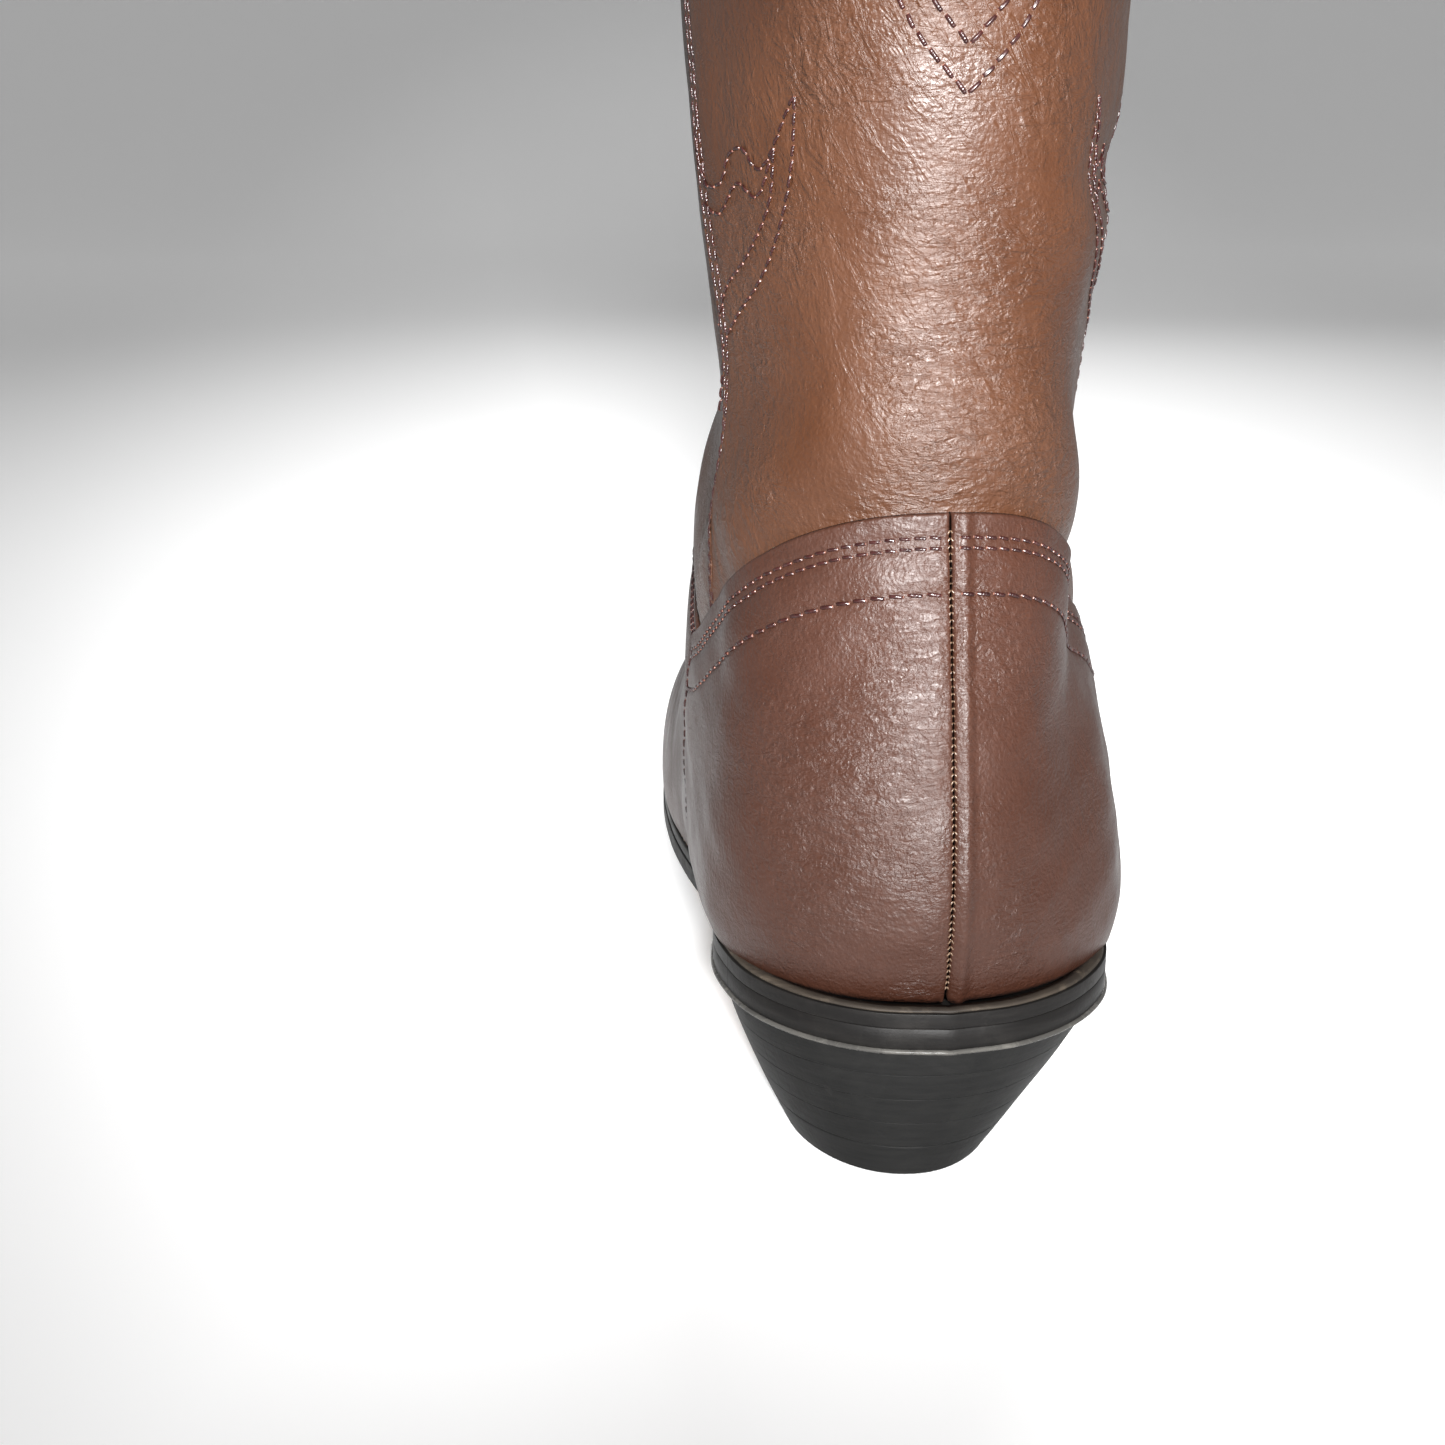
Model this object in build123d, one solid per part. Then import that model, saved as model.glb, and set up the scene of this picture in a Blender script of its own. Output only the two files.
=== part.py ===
from build123d import *
import math
import os

import numpy as np

# A right cowboy boot, 11-inch shaft, pointed toe and a low tapered stacked heel. Millimetres.
# Working axes: X towards the inner (medial) side of the foot, "reach" runs forward from the back of
# the heel to the toe, Z up. In the written parts the toe points to -Y, and the origin is the centre
# of the whole boot's box on the floor.

# ---------------------------------------------------------------- driving sizes
TOE_TIP = 281.0            # reach of the upper's toe tip
SEAT_Z = 31.0              # the upper's lower edge at the heel
SHAFT_TOP = 300.0          # topline at the side seams
OUTER_LEATHER = 1.5        # vamp and counters
SHAFT_LEATHER = 1.4
LINING_LEATHER = 1.0
CEMENT = 0.12              # glue line between layers
OUTSOLE_T = 4.5
WELT_T = 2.5
INSOLE_T = 2.8
SOCK_T = 1.2
HEEL_CAP_T = 5.5
LIFT_COUNT = 4
HEEL_BREAST = 58.0         # reach of the heel's front face at the top
HEEL_BREAST_FOOT = 51.0    # and at the floor
HEEL_BACK_FOOT = 5.5       # reach of the heel's back at the floor
HEEL_FOOT_HALF = 18.0      # half width of the heel at the floor
HEEL_LEAN = 4.5            # how far the heel's foot stands towards the inner side
SIDE_REACH = 66.0          # reach of the side seams at the topline
STRAP_WIDTH = 24.0
STRAP_T = 1.8
STRAP_DOWN = 62.0          # sewn length below the topline
LOOP_HEIGHT = 27.0         # loop above the topline
NAIL_R = 0.8
PEG_R = 1.0
LINING_SPLIT = 100.0       # heel lining behind, vamp lining ahead
STIFFENER_END = 90.0
PUFF_START = 226.0
BINDING_T = 0.9
BINDING_DOWN = 7.0
FILLER_SHARE = 0.99        # the filler's width inside the welt's ring
RAND_END = 60.0            # the heel rand runs round the seat to here
SHANK_HALF = 8.0
SHANK_FROM = 44.0
SHANK_TO = 160.0
SHANK_T = 1.5
HEEL_SEAT_HALF = 32.6      # half width of the heel under the outsole
HEEL_BACK_SEAT = 1.2
PEG_COUNT = 8
PEG_FROM = 66.0
PEG_TO = 108.0
PEG_X = 12.5

# Depths of the layers below the outermost surface
OUTER = (0.0, OUTER_LEATHER)
MIDDLE = (OUTER[1] + CEMENT, OUTER[1] + CEMENT + SHAFT_LEATHER)
INNER = (MIDDLE[1] + CEMENT, MIDDLE[1] + CEMENT + LINING_LEATHER)
CAVITY = INNER[1] + CEMENT
BINDING_OUT = OUTER_LEATHER - BINDING_T
BINDING_IN = CAVITY + BINDING_T
STRAP_OUT = (BINDING_OUT - CEMENT - STRAP_T, BINDING_OUT - CEMENT)
STRAP_IN = (BINDING_IN + CEMENT, BINDING_IN + CEMENT + STRAP_T)
BODY_TOP = 322.0
WALL_ROOF = 310.0
POINTS_AROUND = 28
LOOP_BASE = SHAFT_TOP + 6.0    # lower ends of the free loop
LOOP_X = 43.6                  # middle of the wall at the side seams, at the topline

# ---------------------------------------------------------------- shape of the upper
# Side view, (reach, z): the shin, instep and toe ridge, then the back, heel and a line below the sole
FRONT_LINE = [(130, 340), (127, 285), (124, 245), (120.5, 205), (119, 175), (120.5, 148), (126, 123),
              (136, 101), (151, 84), (172, 68), (196, 56.5), (222, 48.5), (248, 42.5), (265, 37.5),
              (275, 31.5), (280, 24.5), (TOE_TIP, 19)]
BACK_LINE = [(-8, 340), (-5, 285), (-1.5, 245), (2.5, 205), (6, 170), (9, 142), (10.5, 124), (10, 110),
             (6.5, 92), (2.3, 72), (0, 54), (1.2, 41), (5.5, 29), (15, 20), (34, 16), (62, 13.5), (92, 6),
             (122, -2), (150, -6.5), (180, -7.5), (215, -6), (245, -2), (265, 4), (276, 10), (TOE_TIP, 19)]
# Plan view, (reach, x): widest outline of the forefoot on each side
MEDIAL_LINE = [(140, 29.5), (160, 30.6), (180, 31), (198, 30.2), (218, 27.4), (238, 22.6), (256, 16.4),
               (268, 11.5), (276, 7.6), (280.3, 3.5), (TOE_TIP, 0)]
LATERAL_LINE = [(140, -37.5), (160, -41.3), (178, -44.2), (196, -44.2), (216, -40.2), (236, -32.8),
                (254, -23.5), (266, -16), (275, -9.3), (280.2, -4), (TOE_TIP, 0)]
# The cutting planes fan round this line in front of the instep: level above it, upright ahead of it
PIVOT_REACH, PIVOT_Z = 150.0, 190.0
# Half width by height, by fan angle, and the share of depth that is widest with the two roundness powers
SHAFT_HALF = [(190, 38.0), (245, 41.5), (285, 45.0), (340, 50.0)]
FAN = [(0, 38.0, 37.6, 0.50, 2.1, 2.1), (12, 37.0, 36.0, 0.50, 2.1, 2.1), (22, 35.4, 33.4, 0.53, 2.15, 2.1),
       (30, 33.4, 31.2, 0.57, 2.2, 2.0), (36, 32.4, 28.0, 0.62, 2.25, 1.9), (42, 32.7, 25.7, 0.69, 2.25, 1.95),
       (47, 34.8, 33.2, 0.74, 2.2, 2.2), (53, 36.7, 38.8, 0.78, 2.1, 2.4), (62, 36.0, 37.6, 0.76, 2.1, 2.5),
       (75, 31.6, 36.8, 0.72, 2.1, 2.6), (90, 30.1, 39.4, 0.66, 2.15, 2.5)]
REACH = [(150, 0.66, 2.15, 2.5), (180, 0.66, 2.2, 2.5), (215, 0.64, 2.2, 2.5), (245, 0.60, 2.15, 2.4),
         (265, 0.55, 2.05, 2.3), (TOE_TIP, 0.50, 2.0, 2.0)]
# The top of the outsole and welt against the upper, (reach, z)
FEATHER_LINE = [(-20, SEAT_Z), (50, SEAT_Z), (66, 28.6), (84, 22.6), (106, 14.8), (128, 9.4), (150, 7.0),
                (198, 7.0), (226, 8.6), (256, 12.6), (300, 21.0)]


def hermite(table, x):
    """Smooth interpolation of a table of (x, value, ...) rows."""
    rows = np.asarray(table, float)
    xs, ys = rows[:, 0], rows[:, 1:]
    slopes = np.gradient(ys, xs, axis=0)
    x = float(np.clip(x, xs[0], xs[-1]))
    k = int(np.clip(np.searchsorted(xs, x, side="right") - 1, 0, len(xs) - 2))
    h = xs[k + 1] - xs[k]
    u = (x - xs[k]) / h
    return ((2 * u**3 - 3 * u**2 + 1) * ys[k] + (u**3 - 2 * u**2 + u) * h * slopes[k]
            + (3 * u**2 - 2 * u**3) * ys[k + 1] + (u**3 - u**2) * h * slopes[k + 1])


def dense(points, count=480):
    """The points joined by one smooth curve, sampled evenly."""
    p = np.asarray(points, float)
    run = np.concatenate([[0], np.cumsum(np.linalg.norm(np.diff(p, axis=0), axis=1))])
    table = np.column_stack([run, p])
    return np.array([hermite(table, t) for t in np.linspace(0, run[-1], count)])


def inset(line, depth):
    """A sampled line moved to its left by depth."""
    d = np.gradient(line, axis=0)
    n = np.column_stack([-d[:, 1], d[:, 0]])
    return line + depth * n / np.linalg.norm(n, axis=1)[:, None]


def crossings(line, origin, direction):
    """Distances from origin, along direction, at which it meets a sampled line."""
    r = line - np.asarray(origin, float)
    side = r[:, 0] * direction[1] - r[:, 1] * direction[0]
    along = r @ np.asarray(direction, float)
    k = np.nonzero(side[:-1] * side[1:] <= 0)[0]
    share = side[k] / (side[k] - side[k + 1])
    found = along[k] + share * (along[k + 1] - along[k])
    return [a for a in found if a > 0]


def guide_lines(depth):
    """Front, back, medial and lateral lines of the body, moved inwards by depth."""
    return (inset(dense(FRONT_LINE), -depth), inset(dense(BACK_LINE), depth),
            inset(dense(MEDIAL_LINE), -depth), inset(dense(LATERAL_LINE), depth))


def section(kind, value, depth, guides, count):
    """One closed section of the body as (x, reach, z) points, starting at the medial side."""
    front, back, medial, lateral = guides
    if kind == "height":
        origin, way = (PIVOT_REACH, value), (-1.0, 0.0)
        wide_m = wide_l = hermite(SHAFT_HALF, value)[0] - depth
        deep, power_f, power_b = FAN[0][3:]
    elif kind == "angle":
        a = math.radians(value)
        origin, way = (PIVOT_REACH, PIVOT_Z), (-math.cos(a), -math.sin(a))
        wide_m, wide_l, deep, power_f, power_b = hermite(FAN, value)
        wide_m, wide_l = wide_m - depth, wide_l - depth
    else:
        origin, way = (value, PIVOT_Z), (0.0, -1.0)
        deep, power_f, power_b = hermite(REACH, value)
        wide_m = max(crossings(medial, (value, -60), (0, 1))) - 60
        wide_l = 60 - max(crossings(lateral, (value, -60), (0, 1)))
    near, far = min(crossings(front, origin, way)), max(crossings(back, origin, way))
    waist = near + deep * (far - near)
    points = []
    for t in np.linspace(0.5 * math.pi, 2.5 * math.pi, count, endpoint=False):
        c, s = math.cos(t), math.sin(t)
        power = power_f if c >= 0 else power_b
        half, wide = (waist - near if c >= 0 else far - waist), (wide_m if s >= 0 else wide_l)
        x = math.copysign(wide * abs(s) ** (2 / power), s)
        along = waist - math.copysign(half * abs(c) ** (2 / power), c)
        points.append((x, origin[0] + along * way[0], origin[1] + along * way[1]))
    return points


def lowered(points, drop):
    """A side-view line moved down."""
    return [(reach, z - drop) for reach, z in points]


# ---------------------------------------------------------------- seams and edges in side view
TOPLINE = [(-40, 264), (-8, 266), (4, 268), (18, 276), (36, 290), (54, 299), (SIDE_REACH, SHAFT_TOP + 1),
           (78, 299), (94, 290), (110, 275), (121, 266), (132, 263), (170, 262), (320, 262)]
SIDE_SEAM = [(SIDE_REACH, 420), (SIDE_REACH, 300), (67, 240), (69, 180), (73, 130), (77, 95), (79, 60)]
COUNTER_TOP = [(-40, 114), (-10, 113), (10, 112), (28, 107.5), (46, 101), (64, 94.5), (80, 90), (110, 86)]
COUNTER_EDGE = [(78, 130), (80, 90), (85, 62), (91, 36), (96, 12), (99, -20)]
VAMP_TOP = [(60, 92), (80, 90), (95, 92.5), (108, 101), (116, 112), (121, 121), (126, 125.5), (132, 127),
            (200, 128), (320, 128)]
SHAFT_FOOT = [(-40, 103), (-10, 102), (10, 101), (28, 96.5), (46, 90), (64, 83.5), (80, 79), (95, 81),
              (110, 88.5), (121, 98), (130, 105), (142, 108), (200, 110), (320, 110)]
LINING_FOOT = lowered(SHAFT_FOOT, 4.0)
# The inside of the welt's ring, (reach, x), on each side
CORE_OUTLINE = (
    [(9, 0), (12, 10), (20, 18), (32, 23), (50, 23.5), (70, 19.4), (95, 15.8), (120, 16.4), (150, 19.4),
     (180, 21.4), (205, 21), (230, 17.6), (252, 11), (266, 5.6), (273, 0)],
    [(273, 0), (266, -8.5), (252, -18.5), (235, -27.5), (215, -34.2), (190, -38.6), (170, -37.8),
     (145, -33), (120, -27.2), (95, -23), (70, -22.5), (50, -24), (32, -23), (20, -18), (12, -10), (9, 0)],
)
# The outsole's plan outline, (reach, x), from the back of the heel to the toe on each side
SOLE_OUTLINE = (
    [(-1.0, 0), (1.2, 12), (7.5, 22.5), (17, 30), (32, 34), (50, 33.2), (70, 28.6), (95, 24.8), (120, 25),
     (150, 28), (180, 30), (205, 29.4), (230, 25.6), (255, 18.4), (270, 12.4), (280, 6.8), (285, 0)],
    [(285, 0), (280, -8), (266, -19), (246, -31), (220, -41.6), (195, -47.6), (175, -47.6), (150, -43),
     (120, -36.8), (95, -32.5), (70, -32), (50, -33.6), (32, -34), (17, -30), (7.5, -22.5), (1.2, -12),
     (-1.0, 0)],
)


def stations(depth, top):
    """The planes that the body is lofted through, from the top to the toe."""
    tip = TOE_TIP - depth
    return ([("height", z) for z in np.linspace(top, PIVOT_Z, 5, endpoint=False)]
            + [("angle", a) for a in np.linspace(0, 90, 12, endpoint=False)]
            + [("reach", tip - d) for d in (131, 116, 101, 86, 72, 59, 46, 35, 25.5, 17.5, 11, 6, 2.6, 0.8, 0.2)])


def place(x, reach, z):
    """A working point in the part's own axes, with the toe to -Y."""
    return Vector(x, -reach, z)


def body(depth):
    """The boot's outer shape as one solid, shrunk by depth. Deeper bodies stand a little higher."""
    guides = guide_lines(depth)
    half = POINTS_AROUND // 2
    steps = [i / half for i in range(half + 1)]
    loops = []
    for kind, value in stations(depth, BODY_TOP + depth):
        points = [place(*p) for p in section(kind, value, depth, guides, POINTS_AROUND)]
        back = Edge.make_spline(points[:half + 1], parameters=steps)
        front = Edge.make_spline(points[half:] + points[:1], parameters=steps)
        loops.append(Wire([back, front]))
    return Solid.make_loft(loops)


# ---------------------------------------------------------------- cutting shapes
def line(points):
    """Straight edges through working (reach, z) points, on the boot's middle plane."""
    at = [place(0, *p) for p in points]
    return [Edge.make_line(a, b) for a, b in zip(at[:-1], at[1:])]


def curve(points, start=None, end=None):
    """A smooth edge through (reach, z) points, with optional end directions."""
    tangents = None if start is None else [place(0, *start), place(0, *end)]
    return [Edge.make_spline([place(0, *p) for p in points], tangents=tangents)]


def across(edges, x0=-70.0, x1=70.0):
    """A side-view outline carried across the boot from x0 to x1."""
    face = Face(Wire(edges)).moved(Location((x0, 0, 0)))
    return Solid.extrude(face, Vector(x1 - x0, 0, 0))


def below(points, floor=-60.0):
    """Everything below a smooth side-view line."""
    first, last = points[0], points[-1]
    return across(curve(points) + line([last, (last[0], floor), (first[0], floor), first]))


def ahead_of(points, reach=400.0):
    """Everything in front of a smooth side-view line."""
    first, last = points[0], points[-1]
    return across(curve(points) + line([last, (reach, last[1]), (reach, first[1]), first]))


def feather_edges(rise):
    """The top line of the welt, raised: flat under the heel and the ball, curved between and at the toe."""
    def lift(points):
        return [(reach, z + rise) for reach, z in points]
    seat, arch, ball, toe = (lift(FEATHER_LINE[a:b]) for a, b in ((0, 2), (1, 7), (6, 8), (7, 11)))
    return (line(seat) + curve(arch, (16, 0), (20, 0)) + line(ball) + curve(toe, (28, 0.4), (40, 8.4)))


def slab(low, high):
    """The layer between two heights above the feather line."""
    first, last = FEATHER_LINE[0], FEATHER_LINE[-1]
    ends = [Edge.make_line(place(0, p[0], p[1] + low), place(0, p[0], p[1] + high)) for p in (first, last)]
    return across(feather_edges(low) + [ends[1]] + feather_edges(high) + [ends[0]])


def above_feather():
    """Everything from the welt's top, where the walls stand, to just over the topline."""
    first, last = FEATHER_LINE[0], FEATHER_LINE[-1]
    roof = [(last[0], last[1] + CEMENT), (last[0], WALL_ROOF), (first[0], WALL_ROOF),
            (first[0], first[1] + CEMENT)]
    return across(feather_edges(CEMENT) + line(roof))


def plan_block(outline):
    """A plan outline of two sides as an upright block."""
    sides = [Edge.make_spline([place(x, reach, -20) for reach, x in rows]) for rows in outline]
    return Solid.extrude(Face(Wire(sides)), Vector(0, 0, 90))


def span(start, end, x0=-70.0, x1=70.0, z0=-30.0, z1=400.0):
    """A plain block between two reaches."""
    return Pos((x0 + x1) / 2, -(start + end) / 2, (z0 + z1) / 2) * Box(x1 - x0, end - start, z1 - z0)


# ---------------------------------------------------------------- leather of the upper
def wall(depths, bodies, room):
    """The wall between two depths, inside a room."""
    outer, inner = depths
    return (bodies[outer] & room) - (bodies[inner] & room)


def upper_parts(bodies):
    """Vamp and counters outside, shaft panels behind them."""
    room = above_feather()
    outer = wall(OUTER, bodies, room)
    middle = wall(MIDDLE, bodies, room)
    quarter_top = below(COUNTER_TOP)
    vamp_top = below(VAMP_TOP)
    front_side = ahead_of(COUNTER_EDGE)
    counter = (outer & quarter_top) - front_side.moved(Location((0, CEMENT, 0)))
    medial_half = span(-40, 340, x0=CEMENT / 2)
    lateral_half = span(-40, 340, x1=-CEMENT / 2)
    shaft = (middle & below(TOPLINE)) - below(SHAFT_FOOT)
    seam_front = ahead_of(SIDE_SEAM)
    return {
        "vamp": (outer & front_side) & vamp_top,
        "counter_medial": counter & medial_half,
        "counter_lateral": counter & lateral_half,
        "shaft_front": shaft & seam_front,
        "shaft_back": shaft - seam_front.moved(Location((0, CEMENT, 0))),
    }, middle


def inside_parts(bodies, middle):
    """Stiffener, doubler and toe puff between the leathers, and the linings."""
    low = middle & below(lowered(SHAFT_FOOT, CEMENT))
    inner = wall(INNER, bodies, above_feather()) & below(TOPLINE)
    foot_lining = below(LINING_FOOT)
    upper_lining = inner - below(lowered(LINING_FOOT, -CEMENT))
    seam_front = ahead_of(SIDE_SEAM)
    lower_lining = inner & foot_lining
    return {
        "heel_stiffener": low & span(-40, STIFFENER_END),
        "vamp_doubler": low & span(STIFFENER_END + CEMENT, PUFF_START - CEMENT),
        "toe_puff": low & span(PUFF_START, 340),
        "lining_shaft_front": upper_lining & seam_front,
        "lining_shaft_back": upper_lining - seam_front.moved(Location((0, CEMENT, 0))),
        "lining_heel": lower_lining & span(-40, LINING_SPLIT),
        "lining_vamp": lower_lining & span(LINING_SPLIT + CEMENT, 340),
    }


def binding(bodies):
    """A strip folded over the topline, with a leg down each face."""
    band = below(lowered(TOPLINE, -CEMENT - BINDING_T)) - below(lowered(TOPLINE, BINDING_DOWN))
    ridge = band - below(lowered(TOPLINE, -CEMENT))
    legs = [wall((BINDING_OUT, OUTER[1]), bodies, band), wall((CAVITY, BINDING_IN), bodies, band)]
    return legs[0] + legs[1] + wall((BINDING_OUT, BINDING_IN), bodies, ridge)


# ---------------------------------------------------------------- pull straps
def pull_straps(bodies):
    """A strap on each side: a leg outside, a leg inside and the loop between them."""
    parts = {}
    half = STRAP_WIDTH / 2
    for side, sign in (("medial", 1), ("lateral", -1)):
        reach = SIDE_REACH
        edge = (8.0, 70.0) if sign > 0 else (-70.0, -8.0)
        window = span(reach - half, reach + half, *edge, z0=SHAFT_TOP - STRAP_DOWN, z1=SHAFT_TOP)
        parts[f"pull_strap_{side}_outer"] = wall(STRAP_OUT, bodies, window)
        parts[f"pull_strap_{side}_inner"] = wall(STRAP_IN, bodies, window)
        parts[f"pull_strap_{side}_loop"] = strap_loop(sign)
    return parts


def strap_loop(sign):
    """The free loop: an arched strip standing over the topline."""
    base, top = LOOP_BASE, LOOP_BASE + LOOP_HEIGHT
    middle = sign * LOOP_X
    line_x = [(-3.4, base), (-4.4, base + 8), (-4.5, base + 16), (-3.1, top - 2.3), (0, top),
              (3.1, top - 2.3), (4.5, base + 16), (4.4, base + 8), (3.4, base)]
    path = Edge.make_spline([Vector(middle + x, -SIDE_REACH, z) for x, z in line_x],
                            tangents=[Vector(-0.1, 0, 1), Vector(-0.1, 0, -1)])
    start = Plane(origin=path @ 0, z_dir=path % 0, x_dir=Vector(0, 1, 0))
    profile = start * Rectangle(STRAP_WIDTH, STRAP_T)
    return Solid.sweep(profile.face(), Wire([path]))


# ---------------------------------------------------------------- sole, heel and fastenings
def heel_outline(share):
    """The heel's outline at a share of the way from the floor (0) to the seat (1)."""
    z = share * (SEAT_Z - WELT_T - OUTSOLE_T)
    swell = 1 - max(1 - share, 0.0) ** 1.15
    half = HEEL_FOOT_HALF + (HEEL_SEAT_HALF - HEEL_FOOT_HALF) * swell
    back = HEEL_BACK_FOOT * (1 - share) + HEEL_BACK_SEAT * share
    front = HEEL_BREAST_FOOT + (HEEL_BREAST - HEEL_BREAST_FOOT) * share
    waist = back + 0.62 * (front - back)
    lean = HEEL_LEAN * (1 - share)
    around = []
    for t in np.linspace(-1, 1, 15):
        a = t * math.pi / 2
        around.append(place(lean + half * math.sin(a), waist - (waist - back) * math.cos(a) ** 0.94, z))
    breast_half = half * 0.96
    ends = [place(lean - breast_half, front, z), place(lean + breast_half, front, z)]
    rim = Edge.make_spline([ends[0]] + around + [ends[1]])
    breast = Edge.make_three_point_arc(ends[1], place(lean, front - 2.5, z), ends[0])
    return Wire([rim, breast])


def heel_parts():
    """Stacked lifts over a rubber cap."""
    block = Solid.make_loft([heel_outline(s) for s in (0, 0.35, 0.7, 1.04)])
    seat = SEAT_Z - WELT_T - OUTSOLE_T
    last = FEATHER_LINE[-1]
    roof = line([(last[0], 60), (FEATHER_LINE[0][0], 60)])
    under = -WELT_T - OUTSOLE_T - CEMENT
    ends = [Edge.make_line(place(0, p[0], p[1] + under), place(0, p[0], 60)) for p in (FEATHER_LINE[0], last)]
    block = block - across(feather_edges(under) + [ends[1]] + roof + [ends[0]])
    lift = (seat - HEEL_CAP_T) / LIFT_COUNT
    parts = {"heel_cap": block & span(-40, 90, z0=-5, z1=HEEL_CAP_T - CEMENT)}
    for k in range(LIFT_COUNT):
        top = seat - k * lift
        base = top - lift
        roof_z = top - CEMENT if k else seat + 5
        parts[f"heel_lift_{k + 1}"] = block & span(-40, 90, z0=base, z1=roof_z)
    return parts


def sole_parts(bodies):
    """Outsole, welt, heel rand, fillers, shank, insole and sock liner."""
    plan = plan_block(SOLE_OUTLINE)
    welt = (plan & slab(-WELT_T, 0)) - plan_block(CORE_OUTLINE)
    fill = plan_block([[(reach, x * FILLER_SHARE) for reach, x in rows] for rows in CORE_OUTLINE])
    fill = fill & slab(-WELT_T, 0) & span(9.2, 272.5)
    cavity = bodies[CAVITY]
    shank_bar = span(SHANK_FROM, SHANK_TO, x0=-SHANK_HALF, x1=SHANK_HALF)
    shank = shank_bar & slab(-WELT_T, -WELT_T + SHANK_T)
    slot = span(SHANK_FROM - 1, SHANK_TO + 1, x0=-SHANK_HALF - 1, x1=SHANK_HALF + 1)
    slot = slot & slab(-WELT_T - 1, -WELT_T + SHANK_T + CEMENT)
    return {
        "outsole": plan & slab(-WELT_T - OUTSOLE_T, -WELT_T - CEMENT),
        "welt": welt & span(RAND_END + CEMENT, 340),
        "heel_rand": welt & span(-40, RAND_END),
        "cork_filler": (fill & span(RAND_END + CEMENT, 340)) - slot,
        "seat_filler": (fill & span(-40, RAND_END)) - slot,
        "shank": shank,
        "insole": cavity & slab(CEMENT, CEMENT + INSOLE_T),
        "sock_liner": cavity & slab(2 * CEMENT + INSOLE_T, 2 * CEMENT + INSOLE_T + SOCK_T),
    }


def pin(x, reach, z0, z1, radius):
    """An upright round pin."""
    return Solid.make_cylinder(radius, z1 - z0, Plane(origin=place(x, reach, z0)))


def feather_height(reach):
    """The feather line's height at a reach."""
    return float(np.interp(reach, *zip(*FEATHER_LINE)))


def fastenings():
    """Nails and pegs by kind: the pins, the holes for them and the nodes that they pass through."""
    seat = SEAT_Z - WELT_T - OUTSOLE_T
    nails = [pin(x, reach, seat - 13, SEAT_Z + 2, NAIL_R)
             for x, reach in ((0, 14), (-13, 20), (13, 20), (-16, 38), (16, 38))]
    spots = ((0, 17), (-9, 18), (9, 18), (-12, 30), (12, 30), (-11, 43), (11, 43))
    cap_spots = [(x + 0.75 * HEEL_LEAN, reach) for x, reach in spots]
    cap_nails = [pin(x, reach, 1.2, HEEL_CAP_T + 7, NAIL_R) for x, reach in cap_spots]
    cap_holes = [pin(x, reach, -1.0, HEEL_CAP_T + 7, NAIL_R) for x, reach in cap_spots]
    pegs, peg_holes = [], []
    for k in range(PEG_COUNT):
        reach = PEG_FROM + k * (PEG_TO - PEG_FROM) / (PEG_COUNT - 1)
        z = feather_height(reach)
        for sign in (1, -1):
            foot = z - WELT_T - OUTSOLE_T
            pegs.append(pin(sign * PEG_X, reach, foot + 0.35, z + 2.0, PEG_R))
            peg_holes.append(pin(sign * PEG_X, reach, foot - 2.0, z + 2.0, PEG_R))
    return {
        "heel_nails": (nails, nails,
                       ("insole", "seat_filler", "outsole", "heel_lift_1", "heel_lift_2", "heel_lift_3")),
        "heel_cap_nails": (cap_nails, cap_holes, ("heel_cap", "heel_lift_4", "heel_lift_3")),
        "shank_pegs": (pegs, peg_holes, ("insole", "cork_filler", "outsole")),
    }


def build():
    """Every node of the boot in working axes."""
    depths = sorted({*OUTER, *MIDDLE, *INNER, CAVITY, BINDING_OUT, BINDING_IN, *STRAP_OUT, *STRAP_IN})
    bodies = {depth: body(depth) for depth in depths}
    parts, middle = upper_parts(bodies)
    parts |= inside_parts(bodies, middle)
    parts["top_binding"] = binding(bodies)
    parts |= pull_straps(bodies)
    parts |= sole_parts(bodies)
    parts |= heel_parts()
    for name, (pins, holes, passed) in fastenings().items():
        for node in passed:
            parts[node] = parts[node] - holes
        parts[name] = Compound(children=pins)
    return parts


def main():
    """Centre the boot on its own box and write one file per node."""
    parts = build()
    boxes = [shape.bounding_box() for shape in parts.values()]
    low = [min(getattr(b.min, k) for b in boxes) for k in "XYZ"]
    high = [max(getattr(b.max, k) for b in boxes) for k in "XYZ"]
    shift = Vector(-(low[0] + high[0]) / 2, -(low[1] + high[1]) / 2, -low[2])
    print("shift", [round(v, 3) for v in shift], "size", [round(h - l, 2) for h, l in zip(high, low)])
    os.makedirs("parts", exist_ok=True)
    for name, shape in parts.items():
        moved = shape.moved(Location(shift))
        print(name, len(moved.solids()), moved.is_valid, round(moved.volume))
        export_step(moved, f"parts/{name}.step")


main()
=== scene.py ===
import math

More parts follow.
